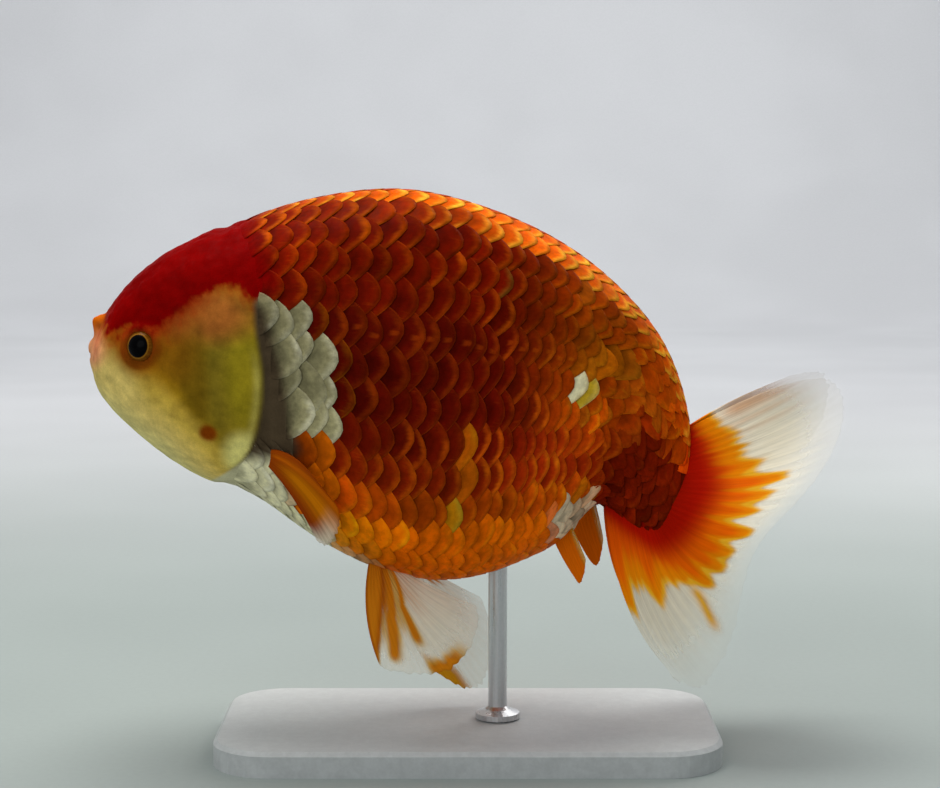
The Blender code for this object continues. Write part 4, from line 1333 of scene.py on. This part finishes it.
def make_floor():
    """A pale sweep: a wide level floor that curves up into a far wall behind. Its sizes are in metres."""
    wide, ahead, behind, high, bend = 3.2, 3.2, 1.5, 1.6, 0.4
    line = [(-ahead, 0.0), (behind - bend, 0.0)]
    for turn in np.linspace(0, math.pi / 2, 25)[1:]:
        line.append((behind - bend + bend * math.sin(turn), bend - bend * math.cos(turn)))
    line.append((behind, high))
    points = [(x, y, z) for y, z in line for x in (-wide, wide)]
    faces = [(2 * i, 2 * i + 1, 2 * i + 3, 2 * i + 2) for i in range(len(line) - 1)]
    mesh = bpy.data.meshes.new("studio_sweep")
    mesh.from_pydata(points, [], faces)
    mesh.polygons.foreach_set("use_smooth", [True] * len(faces))
    n = Nodes("studio_sweep", 0.7, 0.2)
    where = n.object_place()
    cloud = n.noise(where, 6.0, 2.0)
    fine = n.noise(where, 700.0, 3.0)
    shades = n.grade(cloud, 0.96, 1.03), n.grade(fine, 0.985, 1.012)
    away = n.math("SQRT", n.plus(*(n.math("POWER", n.split(where, axis), 2.0) for axis in (0, 1))))
    paint = n.mix(n.remap(away, 0.12, 0.75), (0.31, 0.35, 0.335, 1.0), (0.82, 0.825, 0.84, 1.0))
    n.set("Base Color", n.tint(paint, *shades))
    n.bump(fine, 0.1, 0.2)
    mesh.materials.append(n.material)
    floor = bpy.data.objects.new("studio_sweep", mesh)
    bpy.context.scene.collection.objects.link(floor)


def add_light(name, place_mm, aim_mm, size, power, colour=(1, 1, 1)):
    light = bpy.data.lights.new(name, "AREA")
    light.shape = "DISK"
    light.size = size
    light.energy = power
    light.color = colour
    obj = bpy.data.objects.new(name, light)
    obj.location = Vector(place_mm) * MM
    obj.rotation_euler = (Vector(aim_mm) - Vector(place_mm)).to_track_quat("-Z", "Y").to_euler()
    bpy.context.scene.collection.objects.link(obj)


def light_the_scene():
    add_light("key", (-110, 70, 540), (0, 0, 70), 0.34, 2.6, (1.0, 0.98, 0.95))
    add_light("front_fill", (-260, -520, 300), (0, 0, 70), 0.5, 1.0, (0.98, 0.99, 1.0))
    add_light("back_rim", (260, 300, 360), (20, 0, 80), 0.3, 0.8, (1.0, 0.99, 0.97))
    add_light("wall_wash", (0, 800, 1000), (0, 1500, 250), 1.2, 5.0)
    world = bpy.data.worlds.new("soft_room")
    world.use_nodes = True
    back = world.node_tree.nodes["Background"]
    back.inputs["Color"].default_value = (0.92, 0.96, 1.0, 1.0)
    back.inputs["Strength"].default_value = 0.36
    bpy.context.scene.world = world
    bpy.context.scene.view_settings.view_transform = "Standard"


CAMERA_TARGET = (0.4, 0.0, 71.2)
CAMERA_DISTANCE, CAMERA_ELEVATION = 450.0, 6.0
CAMERA_LENS, CAMERA_SENSOR = 86.2, 36.0


def add_camera():
    data = bpy.data.cameras.new("camera")
    data.lens = CAMERA_LENS
    data.sensor_width = CAMERA_SENSOR
    rise = math.radians(CAMERA_ELEVATION)
    target = Vector(CAMERA_TARGET) * MM
    away = Vector((0, -math.cos(rise), math.sin(rise))) * CAMERA_DISTANCE * MM
    camera = bpy.data.objects.new("camera", data)
    camera.location = target + away
    camera.rotation_euler = (-away).to_track_quat("-Z", "Y").to_euler()
    bpy.context.scene.collection.objects.link(camera)
    bpy.context.scene.camera = camera


make_skin(skin_material())
make_scales(scale_material())
eye_paint = eye_material()
for fish_side, side_word in SIDES:
    make_eye(fish_side, side_word, eye_paint)
make_fins(fin_material("goldfish_fins"))
finish_stand()
make_floor()
light_the_scene()
add_camera()
